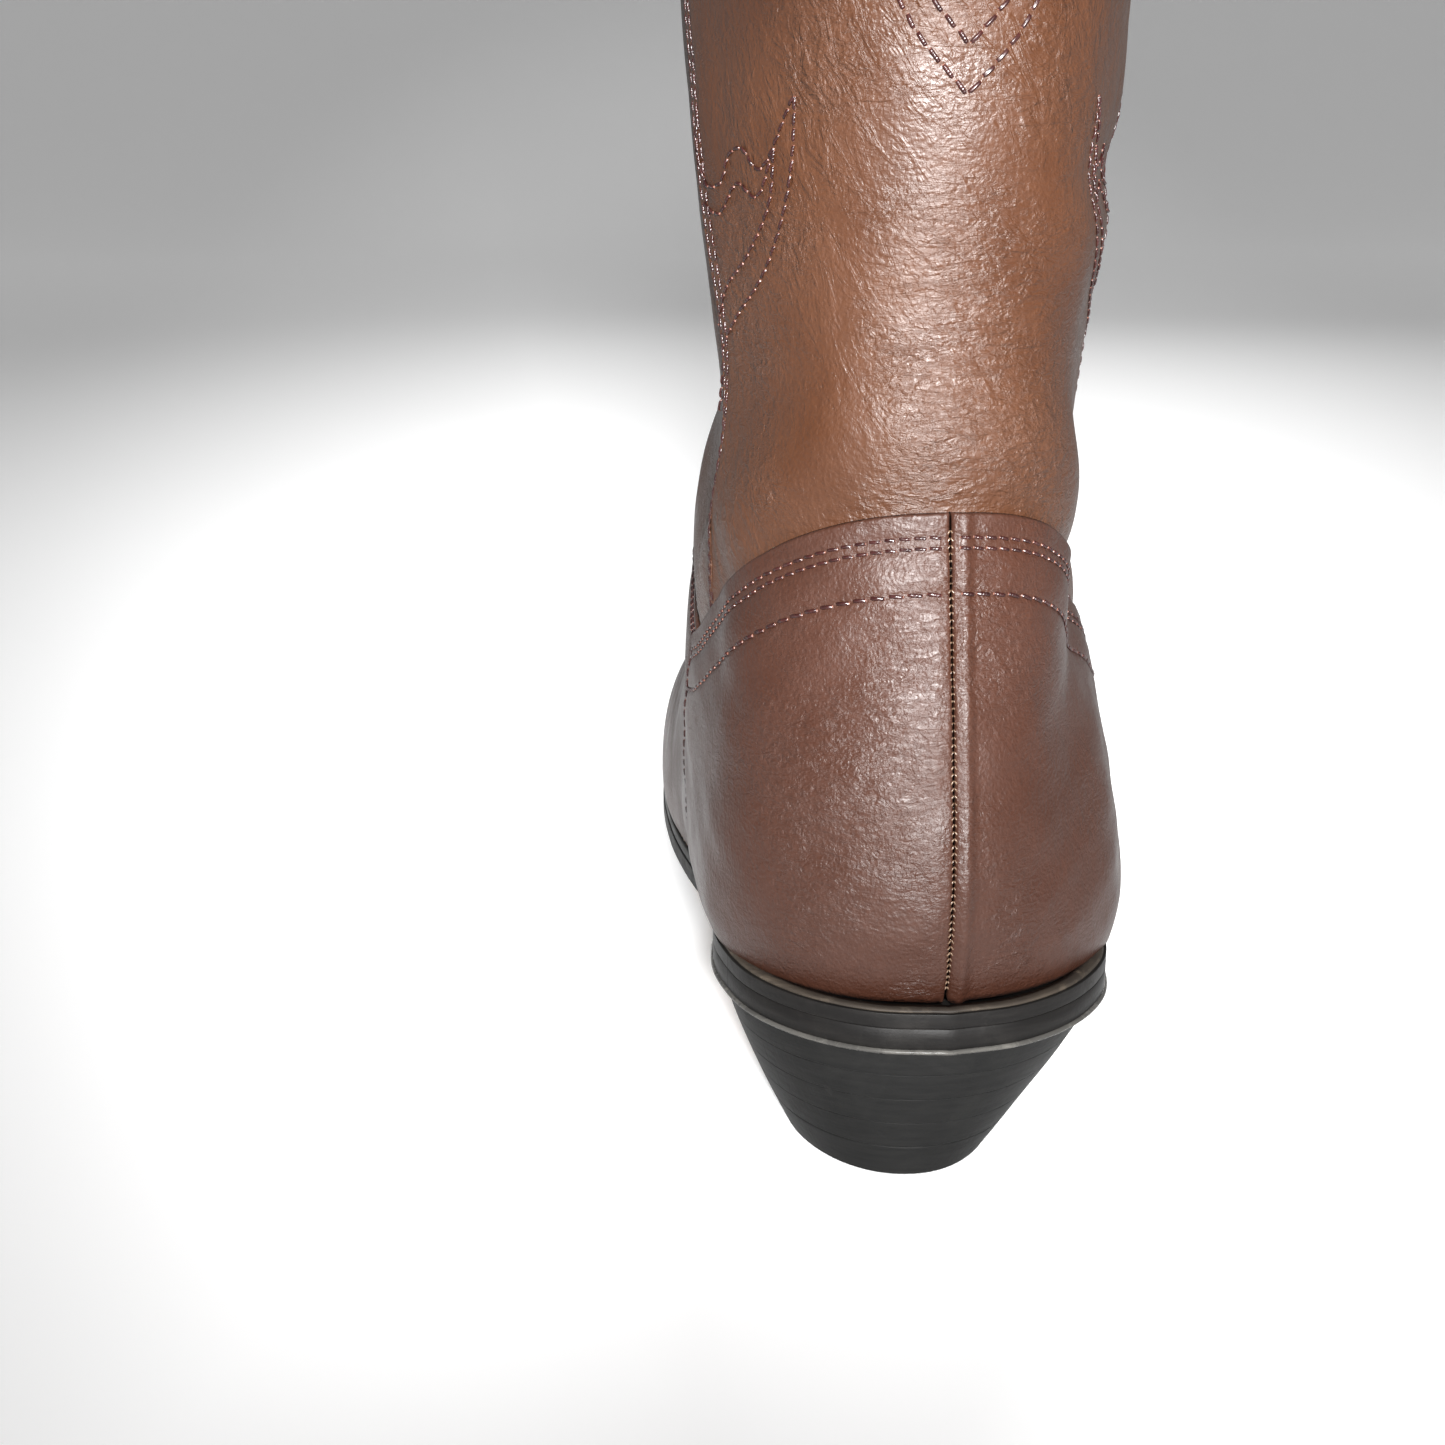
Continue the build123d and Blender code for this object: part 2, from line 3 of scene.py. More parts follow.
import bmesh
import bpy
import numpy as np
from mathutils import Euler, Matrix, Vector


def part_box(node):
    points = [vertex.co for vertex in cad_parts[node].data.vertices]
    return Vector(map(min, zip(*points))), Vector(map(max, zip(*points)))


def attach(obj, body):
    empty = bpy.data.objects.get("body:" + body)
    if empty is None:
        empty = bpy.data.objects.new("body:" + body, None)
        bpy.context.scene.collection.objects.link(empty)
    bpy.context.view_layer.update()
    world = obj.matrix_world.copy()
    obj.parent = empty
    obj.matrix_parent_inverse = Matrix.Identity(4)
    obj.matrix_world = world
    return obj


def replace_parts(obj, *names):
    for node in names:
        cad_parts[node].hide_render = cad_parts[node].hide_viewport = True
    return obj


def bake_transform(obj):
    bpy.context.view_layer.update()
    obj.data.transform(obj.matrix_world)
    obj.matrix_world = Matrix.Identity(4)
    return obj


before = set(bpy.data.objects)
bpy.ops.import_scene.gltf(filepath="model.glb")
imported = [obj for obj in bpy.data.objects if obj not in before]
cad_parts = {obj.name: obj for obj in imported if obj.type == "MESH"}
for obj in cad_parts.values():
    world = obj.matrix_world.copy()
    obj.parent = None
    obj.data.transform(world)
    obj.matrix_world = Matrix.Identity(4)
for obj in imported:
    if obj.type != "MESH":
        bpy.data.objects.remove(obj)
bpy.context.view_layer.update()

# The boot's shape is worked out in millimetres in working axes: x towards the inner side of the foot,
# reach forward from the back of the heel, z up. Meshes are then written in metres in the row frame.
MM = 0.001
HEEL_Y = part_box("outsole")[1][1] - 1.0 * MM      # row y of reach 0; the outsole starts 1 mm behind it
rng = np.random.default_rng(7)

# ---------------------------------------------------------------- driving sizes, mm
TOE_TIP = 281.0
SEAT_Z = 31.0
SHAFT_TOP = 300.0
WELT_T = 2.5
OUTSOLE_T = 4.5
HEEL_CAP_T = 5.5
LIFT_COUNT = 4
HEEL_FOOT_HALF = 18.0
HEEL_SEAT_HALF = 32.6
HEEL_BACK_FOOT = 5.5
HEEL_BACK_SEAT = 1.2
HEEL_BREAST_FOOT = 51.0
HEEL_BREAST = 58.0
HEEL_LEAN = 4.5
LEATHER = 1.5
SHAFT_LEATHER_T = 1.4
SHAFT_DEPTH = 1.6            # the shaft's leather lies under the counter's
LINING_DEPTH = 2.8           # the shaft's outer face stays outside the lining
EDGE_R = 0.6                 # rounding of cut leather edges
COUNTER_ROWS = (3.9, 5.6, 12.8)   # stitch rows below the counter's top edge
VAMP_ROWS = (2.4, 4.2)
SEAM_ROWS = (1.8, 4.4)       # rows beside each side seam of the shaft
PIVOT_REACH, PIVOT_Z = 150.0, 190.0
BODY_TOP = 322.0
SIDE_REACH = 66.0
STRAP_WIDTH = 24.0
STRAP_DOWN = 62.0
LOOP_X = 43.6
LOOP_BASE = SHAFT_TOP + 6.0
LOOP_HEIGHT = 27.0

# Side view, (reach, z)
FRONT_LINE = [(130, 340), (127, 285), (124, 245), (120.5, 205), (119, 175), (120.5, 148), (126, 123),
              (136, 101), (151, 84), (172, 68), (196, 56.5), (222, 48.5), (248, 42.5), (265, 37.5),
              (275, 31.5), (280, 24.5), (TOE_TIP, 19)]
BACK_LINE = [(-8, 340), (-5, 285), (-1.5, 245), (2.5, 205), (6, 170), (9, 142), (10.5, 124), (10, 110),
             (6.5, 92), (2.3, 72), (0, 54), (1.2, 41), (5.5, 29), (15, 20), (34, 16), (62, 13.5), (92, 6),
             (122, -2), (150, -6.5), (180, -7.5), (215, -6), (245, -2), (265, 4), (276, 10), (TOE_TIP, 19)]
# Plan view, (reach, x)
MEDIAL_LINE = [(140, 29.5), (160, 30.6), (180, 31), (198, 30.2), (218, 27.4), (238, 22.6), (256, 16.4),
               (268, 11.5), (276, 7.6), (280.3, 3.5), (TOE_TIP, 0)]
LATERAL_LINE = [(140, -37.5), (160, -41.3), (178, -44.2), (196, -44.2), (216, -40.2), (236, -32.8),
                (254, -23.5), (266, -16), (275, -9.3), (280.2, -4), (TOE_TIP, 0)]
# Half width of the shaft by height; then, by the angle of the planes that fan round the pivot, and by
# reach ahead of it: medial and lateral half width, share of the depth that is widest, two roundnesses
SHAFT_HALF = [(190, 38.0), (245, 41.5), (285, 45.0), (340, 50.0)]
FAN = [(0, 38.0, 37.6, 0.50, 2.1, 2.1), (12, 37.0, 36.0, 0.50, 2.1, 2.1),
       (22, 35.4, 33.4, 0.53, 2.15, 2.1), (30, 33.4, 31.2, 0.57, 2.2, 2.0),
       (36, 32.4, 28.0, 0.62, 2.25, 1.9), (42, 32.7, 25.7, 0.69, 2.25, 1.95),
       (47, 34.8, 33.2, 0.74, 2.2, 2.2), (53, 36.7, 38.8, 0.78, 2.1, 2.4),
       (62, 36.0, 37.6, 0.76, 2.1, 2.5), (75, 31.6, 36.8, 0.72, 2.1, 2.6),
       (90, 30.1, 39.4, 0.66, 2.15, 2.5)]
REACH = [(150, 0.66, 2.15, 2.5), (180, 0.66, 2.2, 2.5), (215, 0.64, 2.2, 2.5), (245, 0.60, 2.15, 2.4),
         (265, 0.55, 2.05, 2.3), (TOE_TIP, 0.50, 2.0, 2.0)]
# Top of the welt and the seams, (reach, z) unless noted
FEATHER_LINE = [(-20, SEAT_Z), (50, SEAT_Z), (66, 28.6), (84, 22.6), (106, 14.8), (128, 9.4), (150, 7.0),
                (198, 7.0), (226, 8.6), (256, 12.6), (300, 21.0)]
TOPLINE = [(-40, 264), (-8, 266), (4, 268), (18, 276), (36, 290), (54, 299), (SIDE_REACH, SHAFT_TOP + 1),
           (78, 299), (94, 290), (110, 275), (121, 266), (132, 263), (170, 262), (320, 262)]
SIDE_SEAM = [(20, 60), (60, 58), (82, 54), (98, 48.5), (118, 46.5), (142, 48.5), (164, 51), (190, 57),
             (240, 65), (300, SIDE_REACH), (420, SIDE_REACH)]                        # (z, reach)
COUNTER_TOP = [(-40, 114), (-10, 113), (10, 111.5), (22, 105.5), (33, 98.5), (46, 90.5), (60, 82.5),
               (72, 78), (110, 72)]
COUNTER_EDGE = [(-20, 99), (14, 92), (38, 84), (60, 75), (80.5, 67), (105, 62), (130, 60)]   # (z, reach)
VAMP_TOP = [(40, 84), (56, 81.5), (66, 80.5), (80, 84), (95, 91), (108, 100.5), (116, 111.5), (121, 121),
            (126, 125.5), (132, 127), (200, 128), (320, 128)]
TUCK = 9.0                   # how far the shaft runs down behind the counter and the vamp
# Plan outline of the outsole, (reach, x)
SOLE_MEDIAL = [(-1.0, 0), (1.2, 12), (7.5, 22.5), (17, 30), (32, 34), (50, 33.2), (70, 28.6), (95, 24.8),
               (120, 25), (150, 28), (180, 30), (205, 29.4), (230, 25.6), (255, 18.4), (270, 12.4),
               (280, 6.8), (285, 0)]
SOLE_LATERAL = [(-1.0, 0), (1.2, -12), (7.5, -22.5), (17, -30), (32, -34), (50, -33.6), (70, -32),
                (95, -32.5), (120, -36.8), (150, -43), (175, -47.6), (195, -47.6), (220, -41.6), (246, -31),
                (266, -19), (280, -8), (285, 0)]
# Generic western flame stitching, (distance round the shaft from its middle, height)
BACK_FLAME = [(0, 174), (9, 184), (15, 196), (17, 210), (15, 224), (9, 236), (3, 244), (0, 252)]
SIDE_FLAME = [(30, 174), (30.5, 164), (32.5, 156), (37.5, 147), (47, 139), (55, 131), (58, 122)]
SIDE_TONGUES = [(30, 174), (40, 163), (44, 166), (48, 165), (51, 160.5), (56, 160), (60, 166), (60.5, 172)]
SIDE_INNER = [(35, 166), (36, 158), (42, 150), (51, 143), (56, 136)]
TONGUES_INNER = [(35, 166), (40, 158.5), (45.5, 160.5), (52, 155.5), (58, 157)]
FRONT_FLAME = [(0, 152), (7, 160), (14, 174), (18, 190), (17, 206), (11, 221), (5, 232), (0, 242)]
FRONT_SIDE = [(26, 168), (25, 180), (27, 194), (33, 206), (41, 214), (40, 202), (46, 196), (43, 186),
              (49, 178)]


# ---------------------------------------------------------------- curves
def smooth(table, x):
    """Smooth interpolation of a table of (x, value, ...) rows at an array of x."""
    rows = np.asarray(table, float)
    xs, ys = rows[:, 0], rows[:, 1:]
    m = np.gradient(ys, xs, axis=0)
    x = np.clip(np.asarray(x, float), xs[0], xs[-1])
    k = np.clip(np.searchsorted(xs, x, side="right") - 1, 0, len(xs) - 2)
    h = (xs[k + 1] - xs[k])[..., None]
    u = (x - xs[k])[..., None] / h
    value = ((2 * u**3 - 3 * u**2 + 1) * ys[k] + (u**3 - 2 * u**2 + u) * h * m[k]
             + (3 * u**2 - 2 * u**3) * ys[k + 1] + (u**3 - u**2) * h * m[k + 1])
    return value[..., 0] if value.shape[-1] == 1 else value


def lengths(points, axis=0):
    """Running length along an axis of a line or grid of points."""
    steps = np.linalg.norm(np.diff(points, axis=axis), axis=-1)
    shape = list(steps.shape)
    shape[axis] = 1
    return np.concatenate([np.zeros(shape), np.cumsum(steps, axis=axis)], axis=axis)


def dense(points, count=480):
    """The points joined by one smooth curve, sampled evenly."""
    p = np.asarray(points, float)
    run = lengths(p)
    return smooth(np.column_stack([run, p]), np.linspace(0, run[-1], count))


def evenly(points, count):
    """The line resampled into count equal steps."""
    run = lengths(points)
    at = np.linspace(0, run[-1], count + 1)
    return np.column_stack([np.interp(at, run, points[:, i]) for i in range(points.shape[1])])


def crossings(line, origin, direction):
    """Distances from origin, along direction, at which it meets a sampled line."""
    r = line - np.asarray(origin, float)
    side = r[:, 0] * direction[1] - r[:, 1] * direction[0]
    along = r @ np.asarray(direction, float)
    k = np.nonzero(side[:-1] * side[1:] <= 0)[0]
    share = side[k] / (side[k] - side[k + 1])
    found = along[k] + share * (along[k + 1] - along[k])
    return [a for a in found if a > 0]


def feather(reach):
    """Height of the welt's top."""
    return smooth(FEATHER_LINE, reach)


def bump(x, centre, width):
    """A smooth hump of height 1."""
    return np.exp(-((x - centre) / width) ** 2)


def step(x, low, high):
    """0 below low, 1 above high, smooth between."""
    t = np.clip((x - low) / (high - low), 0, 1)
    return t * t * (3 - 2 * t)


def waves(p, size, seed):
    """A smooth seeded ripple over points, about -1 to 1."""
    dice = np.random.default_rng(seed)
    total = 0
    for _ in range(6):
        way = dice.normal(size=3)
        way *= 2 * math.pi / size / np.linalg.norm(way)
        total = total + np.sin(p @ way * dice.uniform(0.6, 1.6) + dice.uniform(0, 6.3))
    return total / 3.2


# ---------------------------------------------------------------- the boot's skin
# Points of the skin are found by (turn, run): turn is 0 at the front, 0.25 on the inner side and 0.5 at
# the back; run goes down the shaft, round the fan of planes and on to the toe
SHAFT_RUN = BODY_TOP - PIVOT_Z
FAN_RUN = 180.0
SKIN_RUN = SHAFT_RUN + FAN_RUN + (TOE_TIP - 0.05 - PIVOT_REACH)
ROUND, ALONG = 720, 900


def section(run):
    """Dense points round the skin at one run."""
    if run < SHAFT_RUN:
        origin, way = (PIVOT_REACH, BODY_TOP - run), (-1.0, 0.0)
        wide_m = wide_l = smooth(SHAFT_HALF, BODY_TOP - run)
        deep, power_f, power_b = FAN[0][3:]
    elif run < SHAFT_RUN + FAN_RUN:
        angle = (run - SHAFT_RUN) / FAN_RUN * 90
        a = math.radians(angle)
        origin, way = (PIVOT_REACH, PIVOT_Z), (-math.cos(a), -math.sin(a))
        wide_m, wide_l, deep, power_f, power_b = smooth(FAN, angle)
    else:
        reach = PIVOT_REACH + run - SHAFT_RUN - FAN_RUN
        origin, way = (reach, PIVOT_Z), (0.0, -1.0)
        deep, power_f, power_b = smooth(REACH, reach)
        wide_m = max(crossings(MEDIAL, (reach, -60), (0, 1))) - 60
        wide_l = 60 - max(crossings(LATERAL, (reach, -60), (0, 1)))
    near, far = min(crossings(FRONT, origin, way)), max(crossings(BACK, origin, way))
    waist = near + deep * (far - near)
    t = np.linspace(0, 2 * math.pi, 2881)
    c, s = np.cos(t), np.sin(t)
    power = np.where(c >= 0, power_f, power_b)
    half = np.where(c >= 0, waist - near, far - waist)
    wide = np.where(s >= 0, wide_m, wide_l)
    x = np.sign(s) * wide * np.abs(s) ** (2 / power)
    along = waist - np.sign(c) * half * np.abs(c) ** (2 / power)
    points = np.column_stack([x, origin[0] + along * way[0], origin[1] + along * way[1]])
    return np.concatenate([evenly(points[:1441], ROUND // 2), evenly(points[1440:], ROUND // 2)[1:]])


FRONT, BACK, MEDIAL, LATERAL = (dense(p) for p in (FRONT_LINE, BACK_LINE, MEDIAL_LINE, LATERAL_LINE))
RUNS = np.linspace(0, SKIN_RUN, ALONG)
SKIN = np.stack([section(run) for run in RUNS], axis=1)          # [round, along, xyz]


def skin_normals():
    """Outward normals of the skin grid."""
    around = np.roll(SKIN[:-1], -1, axis=0) - np.roll(SKIN[:-1], 1, axis=0)
    around = np.concatenate([around, around[:1]])
    n = np.cross(around, np.gradient(SKIN, axis=1))
    n /= np.maximum(np.linalg.norm(n, axis=2, keepdims=True), 1e-9)
    return -n if n[ROUND // 2, 100, 1] > 0 else n


NORMAL = skin_normals()


def look_up(array, turn, run):
    """Bilinear look-up in a grid over the skin."""
    a = np.mod(turn, 1.0) * ROUND
    b = np.clip(run / SKIN_RUN, 0, 1) * (ALONG - 1)
    i = np.clip(a.astype(int), 0, ROUND - 1)
    j = np.clip(b.astype(int), 0, ALONG - 2)
    fa, fb = (a - i)[..., None], (b - j)[..., None]
    return ((array[i, j] * (1 - fa) + array[i + 1, j] * fa) * (1 - fb)
            + (array[i, j + 1] * (1 - fa) + array[i + 1, j + 1] * fa) * fb)


def outward(turn, run):
    """Unit normals of the skin."""
    n = look_up(NORMAL, turn, run)
    return n / np.maximum(np.linalg.norm(n, axis=-1, keepdims=True), 1e-9)


def skin(turn, run, depth=0.0):
    """Points on the skin, moved inwards by depth."""
    turn, run = np.broadcast_arrays(np.asarray(turn, float), np.asarray(run, float))
    depth = np.broadcast_to(depth, turn.shape)
    return look_up(SKIN, turn, run) - outward(turn, run) * depth[..., None]


def first_crossing(values, at):
    """Along the last axis, where values first fall from positive to negative."""
    flips = (values[..., :-1] > 0) & (values[..., 1:] <= 0)
    k = np.argmax(flips, axis=-1)
    rows = np.arange(values.shape[0])
    a, b = values[rows, k], values[rows, k + 1]
    share = np.where(flips.any(axis=-1), a / np.maximum(a - b, 1e-9), np.nan)
    return at[k] + share * (at[k + 1] - at[k])


def filled(values):
    """Missing entries take the nearest found one."""
    index = np.arange(len(values))
    found = ~np.isnan(values)
    return np.interp(index, index[found], values[found])


TURNS = np.linspace(-0.5, 0.5, 641)


def run_line(inside, low, high):
    """The run, as a function of turn, at which inside(points) first turns negative."""
    at = np.linspace(low, high, 700)
    runs = filled(first_crossing(inside(skin(TURNS[:, None], at[None, :])), at))
    return lambda turn: np.interp(np.mod(turn + 0.5, 1.0) - 0.5, TURNS, runs)


def turn_line(inside, runs, low, high):
    """The turn, as a function of run, at which inside(points) first turns negative."""
    at = np.linspace(low, high, 500)
    turns = filled(first_crossing(inside(skin(at[None, :], runs[:, None])), at))
    return lambda run: np.interp(run, runs, turns)


def height_line(curve, low, high, drop=0.0):
    """Where the skin passes below a side-view line."""
    return run_line(lambda p: p[..., 2] - smooth(curve, p[..., 1]) + drop, low, high)


def side_line(sign):
    """Where the skin passes the side seam."""
    runs = np.linspace(0.0, SHAFT_RUN + 130, 260)
    return turn_line(lambda p: smooth(SIDE_SEAM, p[..., 2]) - p[..., 1], runs, 0.5 * sign, 0.0)


def feather_side(sign):
    """Where the forefoot's skin meets the welt."""
    runs = np.linspace(SHAFT_RUN + 60, SKIN_RUN, 400)
    return turn_line(lambda p: p[..., 2] - feather(p[..., 1]), runs, 0.1 * sign, 0.5 * sign)


def meet(first, second, low, high):
    """Where two functions of one coordinate first cross."""
    at = np.linspace(low, high, 2000)
    gap = first(at) - second(at)
    k = int(np.nonzero(gap[:-1] * gap[1:] <= 0)[0][0])
    return at[k] + gap[k] / (gap[k] - gap[k + 1]) * (at[k + 1] - at[k])


# ---------------------------------------------------------------- meshes
def to_row(points):
    """Working millimetres to row metres."""
    p = np.asarray(points, float)
    return np.stack([p[..., 0] * MM, HEEL_Y - p[..., 1] * MM, p[..., 2] * MM], axis=-1)


def add_object(name, data):
    """A new object in the scene."""
    piece = bpy.data.objects.new(name, data)
    bpy.context.scene.collection.objects.link(piece)
    return piece


def make_mesh(name, vertices, faces, material, body="boot", slot=None):
    """A smooth mesh piece from working points, riding on a body."""
    mesh = bpy.data.meshes.new(name)
    mesh.from_pydata(to_row(vertices).tolist(), [], faces)
    mesh.validate()
    shape = bmesh.new()
    shape.from_mesh(mesh)
    bmesh.ops.recalc_face_normals(shape, faces=shape.faces)
    shape.to_mesh(mesh)
    shape.free()
    mesh.polygons.foreach_set("use_smooth", [True] * len(mesh.polygons))
    mesh.materials.append(material)
    piece = add_object(name, mesh)
    if body:
        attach(piece, body)
    return piece


def grid_faces(rows, columns, wrap_rows=False, wrap_columns=False, base=0):
    """Quads of a rows x columns grid of vertices, which may close on itself either way."""
    i, j = np.meshgrid(np.arange(rows - (not wrap_rows)), np.arange(columns - (not wrap_columns)),
                       indexing="ij")
    k, m = (i + 1) % rows, (j + 1) % columns
    quads = np.stack([i * columns + j, i * columns + m, k * columns + m, k * columns + j], axis=-1)
    return (quads.reshape(-1, 4) + base).tolist()


def grid_normals(p):
    """Unit normals of a grid of points."""
    n = np.cross(np.gradient(p, axis=0), np.gradient(p, axis=1))
    return n / np.maximum(np.linalg.norm(n, axis=2, keepdims=True), 1e-9)


def sheet(name, outer, inner, material, **kw):
    """A sheet between two grids of points, with its four edges closed."""
    rows, columns = outer.shape[:2]
    count = rows * columns
    faces = grid_faces(rows, columns) + grid_faces(rows, columns, base=count)
    rim = [i * columns for i in range(rows)] + [(rows - 1) * columns + j for j in range(1, columns)]
    rim += [i * columns + columns - 1 for i in range(rows - 2, -1, -1)] + list(range(columns - 2, 0, -1))
    faces += [[a, b, b + count, a + count] for a, b in zip(rim, rim[1:] + rim[:1])]
    vertices = np.concatenate([outer.reshape(-1, 3), inner.reshape(-1, 3)])
    return make_mesh(name, vertices, faces, material, **kw)


def lathe(name, rings, material, **kw):
    """A solid through rings of points, [ring][round], closed at both ends."""
    p = np.stack(rings, axis=1)
    rows, columns = p.shape[:2]
    faces = grid_faces(rows, columns, wrap_rows=True)
    faces.append([i * columns for i in range(rows)])
    faces.append([i * columns + columns - 1 for i in range(rows)])
    return make_mesh(name, p.reshape(-1, 3), faces, material, **kw)


def spaced(length, cell, fine=((0, 1.2, 0.2),), ends=((0, 1.2, 0.2),)):
    """Positions 0 to 1 along a length in mm: even cells, with finer stretches from the start and end."""
    places = set(np.round(np.linspace(0, length, max(int(length / cell), 4) + 1), 3))
    for stretches, from_end in ((fine, False), (ends, True)):
        for low, high, small in stretches:
            band = np.arange(low, high + 1e-6, small)
            low, high = (length - high, length - low) if from_end else (low, high)
            places = {p for p in places if not low - small / 2 < p < high + small / 2 or p in (0, length)}
            places |= set(np.round(length - band if from_end else band, 3))
    return np.array(sorted(places)) / length


def edge_drop(distance, radius=EDGE_R):
    """How far a cut edge's surface falls, at a distance from the edge."""
    d = np.clip(distance, 0, radius)
    return radius - np.sqrt(np.maximum(radius**2 - (radius - d) ** 2, 0))


def by_length(line):
    """A line of (turn, run) points, as a function of the share of its length on the skin."""
    line = np.asarray(line)
    run = lengths(skin(line[:, 0], line[:, 1]))
    run /= max(run[-1], 1e-9)
    return lambda share: np.stack([np.interp(share, run, line[:, i]) for i in (0, 1)], axis=-1)


def between(function, low, high, count=400, of_run=False):
    """Samples of a seam line as (turn, run) points."""
    at = np.linspace(low, high, count)
    value = function(at) + 0 * at
    return np.column_stack([value, at] if of_run else [at, value])


class Panel:
    """A four-sided panel of leather on the skin, filled in between its four edges."""

    def __init__(self, top, bottom, left, right, a, b):
        A, B = (grid[..., None] for grid in np.meshgrid(a, b, indexing="ij"))
        top, bottom, left, right = (by_length(edge) for edge in (top, bottom, left, right))
        corners = ((1 - A) * (1 - B) * top(0.0) + A * (1 - B) * top(1.0)
                   + (1 - A) * B * bottom(0.0) + A * B * bottom(1.0))
        at = ((1 - B) * top(A[..., 0]) + B * bottom(A[..., 0])
              + (1 - A) * left(B[..., 0]) + A * right(B[..., 0]) - corners)
        self.turn, self.run = at[..., 0], at[..., 1]
        self.base = skin(self.turn, self.run)
        self.from_left = lengths(self.base, 0)
        self.from_top = lengths(self.base, 1)
        self.from_right = self.from_left[-1:] - self.from_left
        self.from_bottom = self.from_top[:, -1:] - self.from_top

    def form(self, name, depth, thickness, material, slot, node):
        """The panel's mesh, its outer face moved inwards by depth."""
        self.depth = depth
        self.surface = skin(self.turn, self.run, depth)
        n = grid_normals(self.surface)
        self.normal = n * np.sign((n * outward(self.turn, self.run)).sum(axis=2, keepdims=True))
        piece = sheet(name, self.surface, self.surface - self.normal * thickness, material, slot=slot)
        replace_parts(piece, node)

    def line(self, distance, value, axis):
        """Points and normals of the surface along the line at a distance from an edge."""
        grids = np.concatenate([self.surface, self.normal], axis=2)
        if axis == 0:
            distance, grids = distance.T, grids.transpose(1, 0, 2)
        found = []
        for d, g in zip(distance, grids):
            if d[-1] < d[0]:
                d, g = d[::-1], g[::-1]
            found.append([np.interp(value, d, g[:, k]) for k in range(6)])
        found = np.array(found)
        return found[:, :3], found[:, 3:]

    def depth_at(self, turn, run):
        """The surface's depth at points of the skin, from the nearest vertex."""
        gap = ((self.turn[..., None] - turn) * 250) ** 2 + (self.run[..., None] - run) ** 2
        return self.depth.reshape(-1)[gap.reshape(-1, gap.shape[-1]).argmin(axis=0)]


# ---------------------------------------------------------------- node materials
LEATHER_SHINE, PAINT_SHINE = 0.40, 0.15     # specular levels of the leathers and of the edge paint


def fill(tree, node, inputs):
    """Plain values and links into a node's sockets."""
    for key, value in inputs.items():
        if isinstance(value, bpy.types.NodeSocket):
            tree.links.new(value, node.inputs[key])
        else:
            node.inputs[key].default_value = value


def new_material(name):
    """An empty node material with its Principled shader and output."""
    material = bpy.data.materials.new(name)
    material.use_nodes = True
    tree = material.node_tree
    tree.nodes.clear()
    output = tree.nodes.new("ShaderNodeOutputMaterial")
    shader = tree.nodes.new("ShaderNodeBsdfPrincipled")
    tree.links.new(shader.outputs["BSDF"], output.inputs["Surface"])
    return material, tree, shader


def add_node(tree, kind, inputs=None, **settings):
    """A node with its settings, its plain input values and its links."""
    node = tree.nodes.new(kind)
    for key, value in settings.items():
        setattr(node, key, value)
    fill(tree, node, inputs or {})
    return node


def place_texture(tree, scale=(1, 1, 1), turned=None):
    """Object coordinates in metres, turned and then stretched."""
    where = add_node(tree, "ShaderNodeTexCoord").outputs["Object"]
    if turned:
        where = add_node(tree, "ShaderNodeMapping", {"Vector": where, "Rotation": turned}).outputs[0]
    return add_node(tree, "ShaderNodeMapping", {"Vector": where, "Scale": scale}).outputs[0]


def noise(tree, where, scale, detail=3.0, roughness=0.55, distortion=0.0):
    """A noise texture's value."""
    inputs = {"Vector": where, "Scale": scale, "Detail": detail, "Roughness": roughness,
              "Distortion": distortion}
    return add_node(tree, "ShaderNodeTexNoise", inputs).outputs["Fac"]


def ramp(tree, value, low, high, out_low=0.0, out_high=1.0):
    """A value moved from one range to another, clamped."""
    inputs = {"Value": value, "From Min": low, "From Max": high, "To Min": out_low, "To Max": out_high}
    return add_node(tree, "ShaderNodeMapRange", inputs).outputs[0]


def maths(tree, operation, first, second):
    """Two values combined."""
    return add_node(tree, "ShaderNodeMath", {0: first, 1: second}, operation=operation).outputs[0]


def blend_colour(tree, share, first, second):
    """Two colours mixed by a share."""
    first, second = (c if isinstance(c, bpy.types.NodeSocket) else (*c, 1.0) for c in (first, second))
    return add_node(tree, "ShaderNodeMix", {0: share, 6: first, 7: second}, data_type="RGBA").outputs[2]


def bumped(tree, height, strength, distance, below=None):
    """A bump layer, with its distance in metres."""
    inputs = {"Height": height, "Strength": strength, "Distance": distance}
    if below is not None:
        inputs["Normal"] = below
    return add_node(tree, "ShaderNodeBump", inputs).outputs[0]


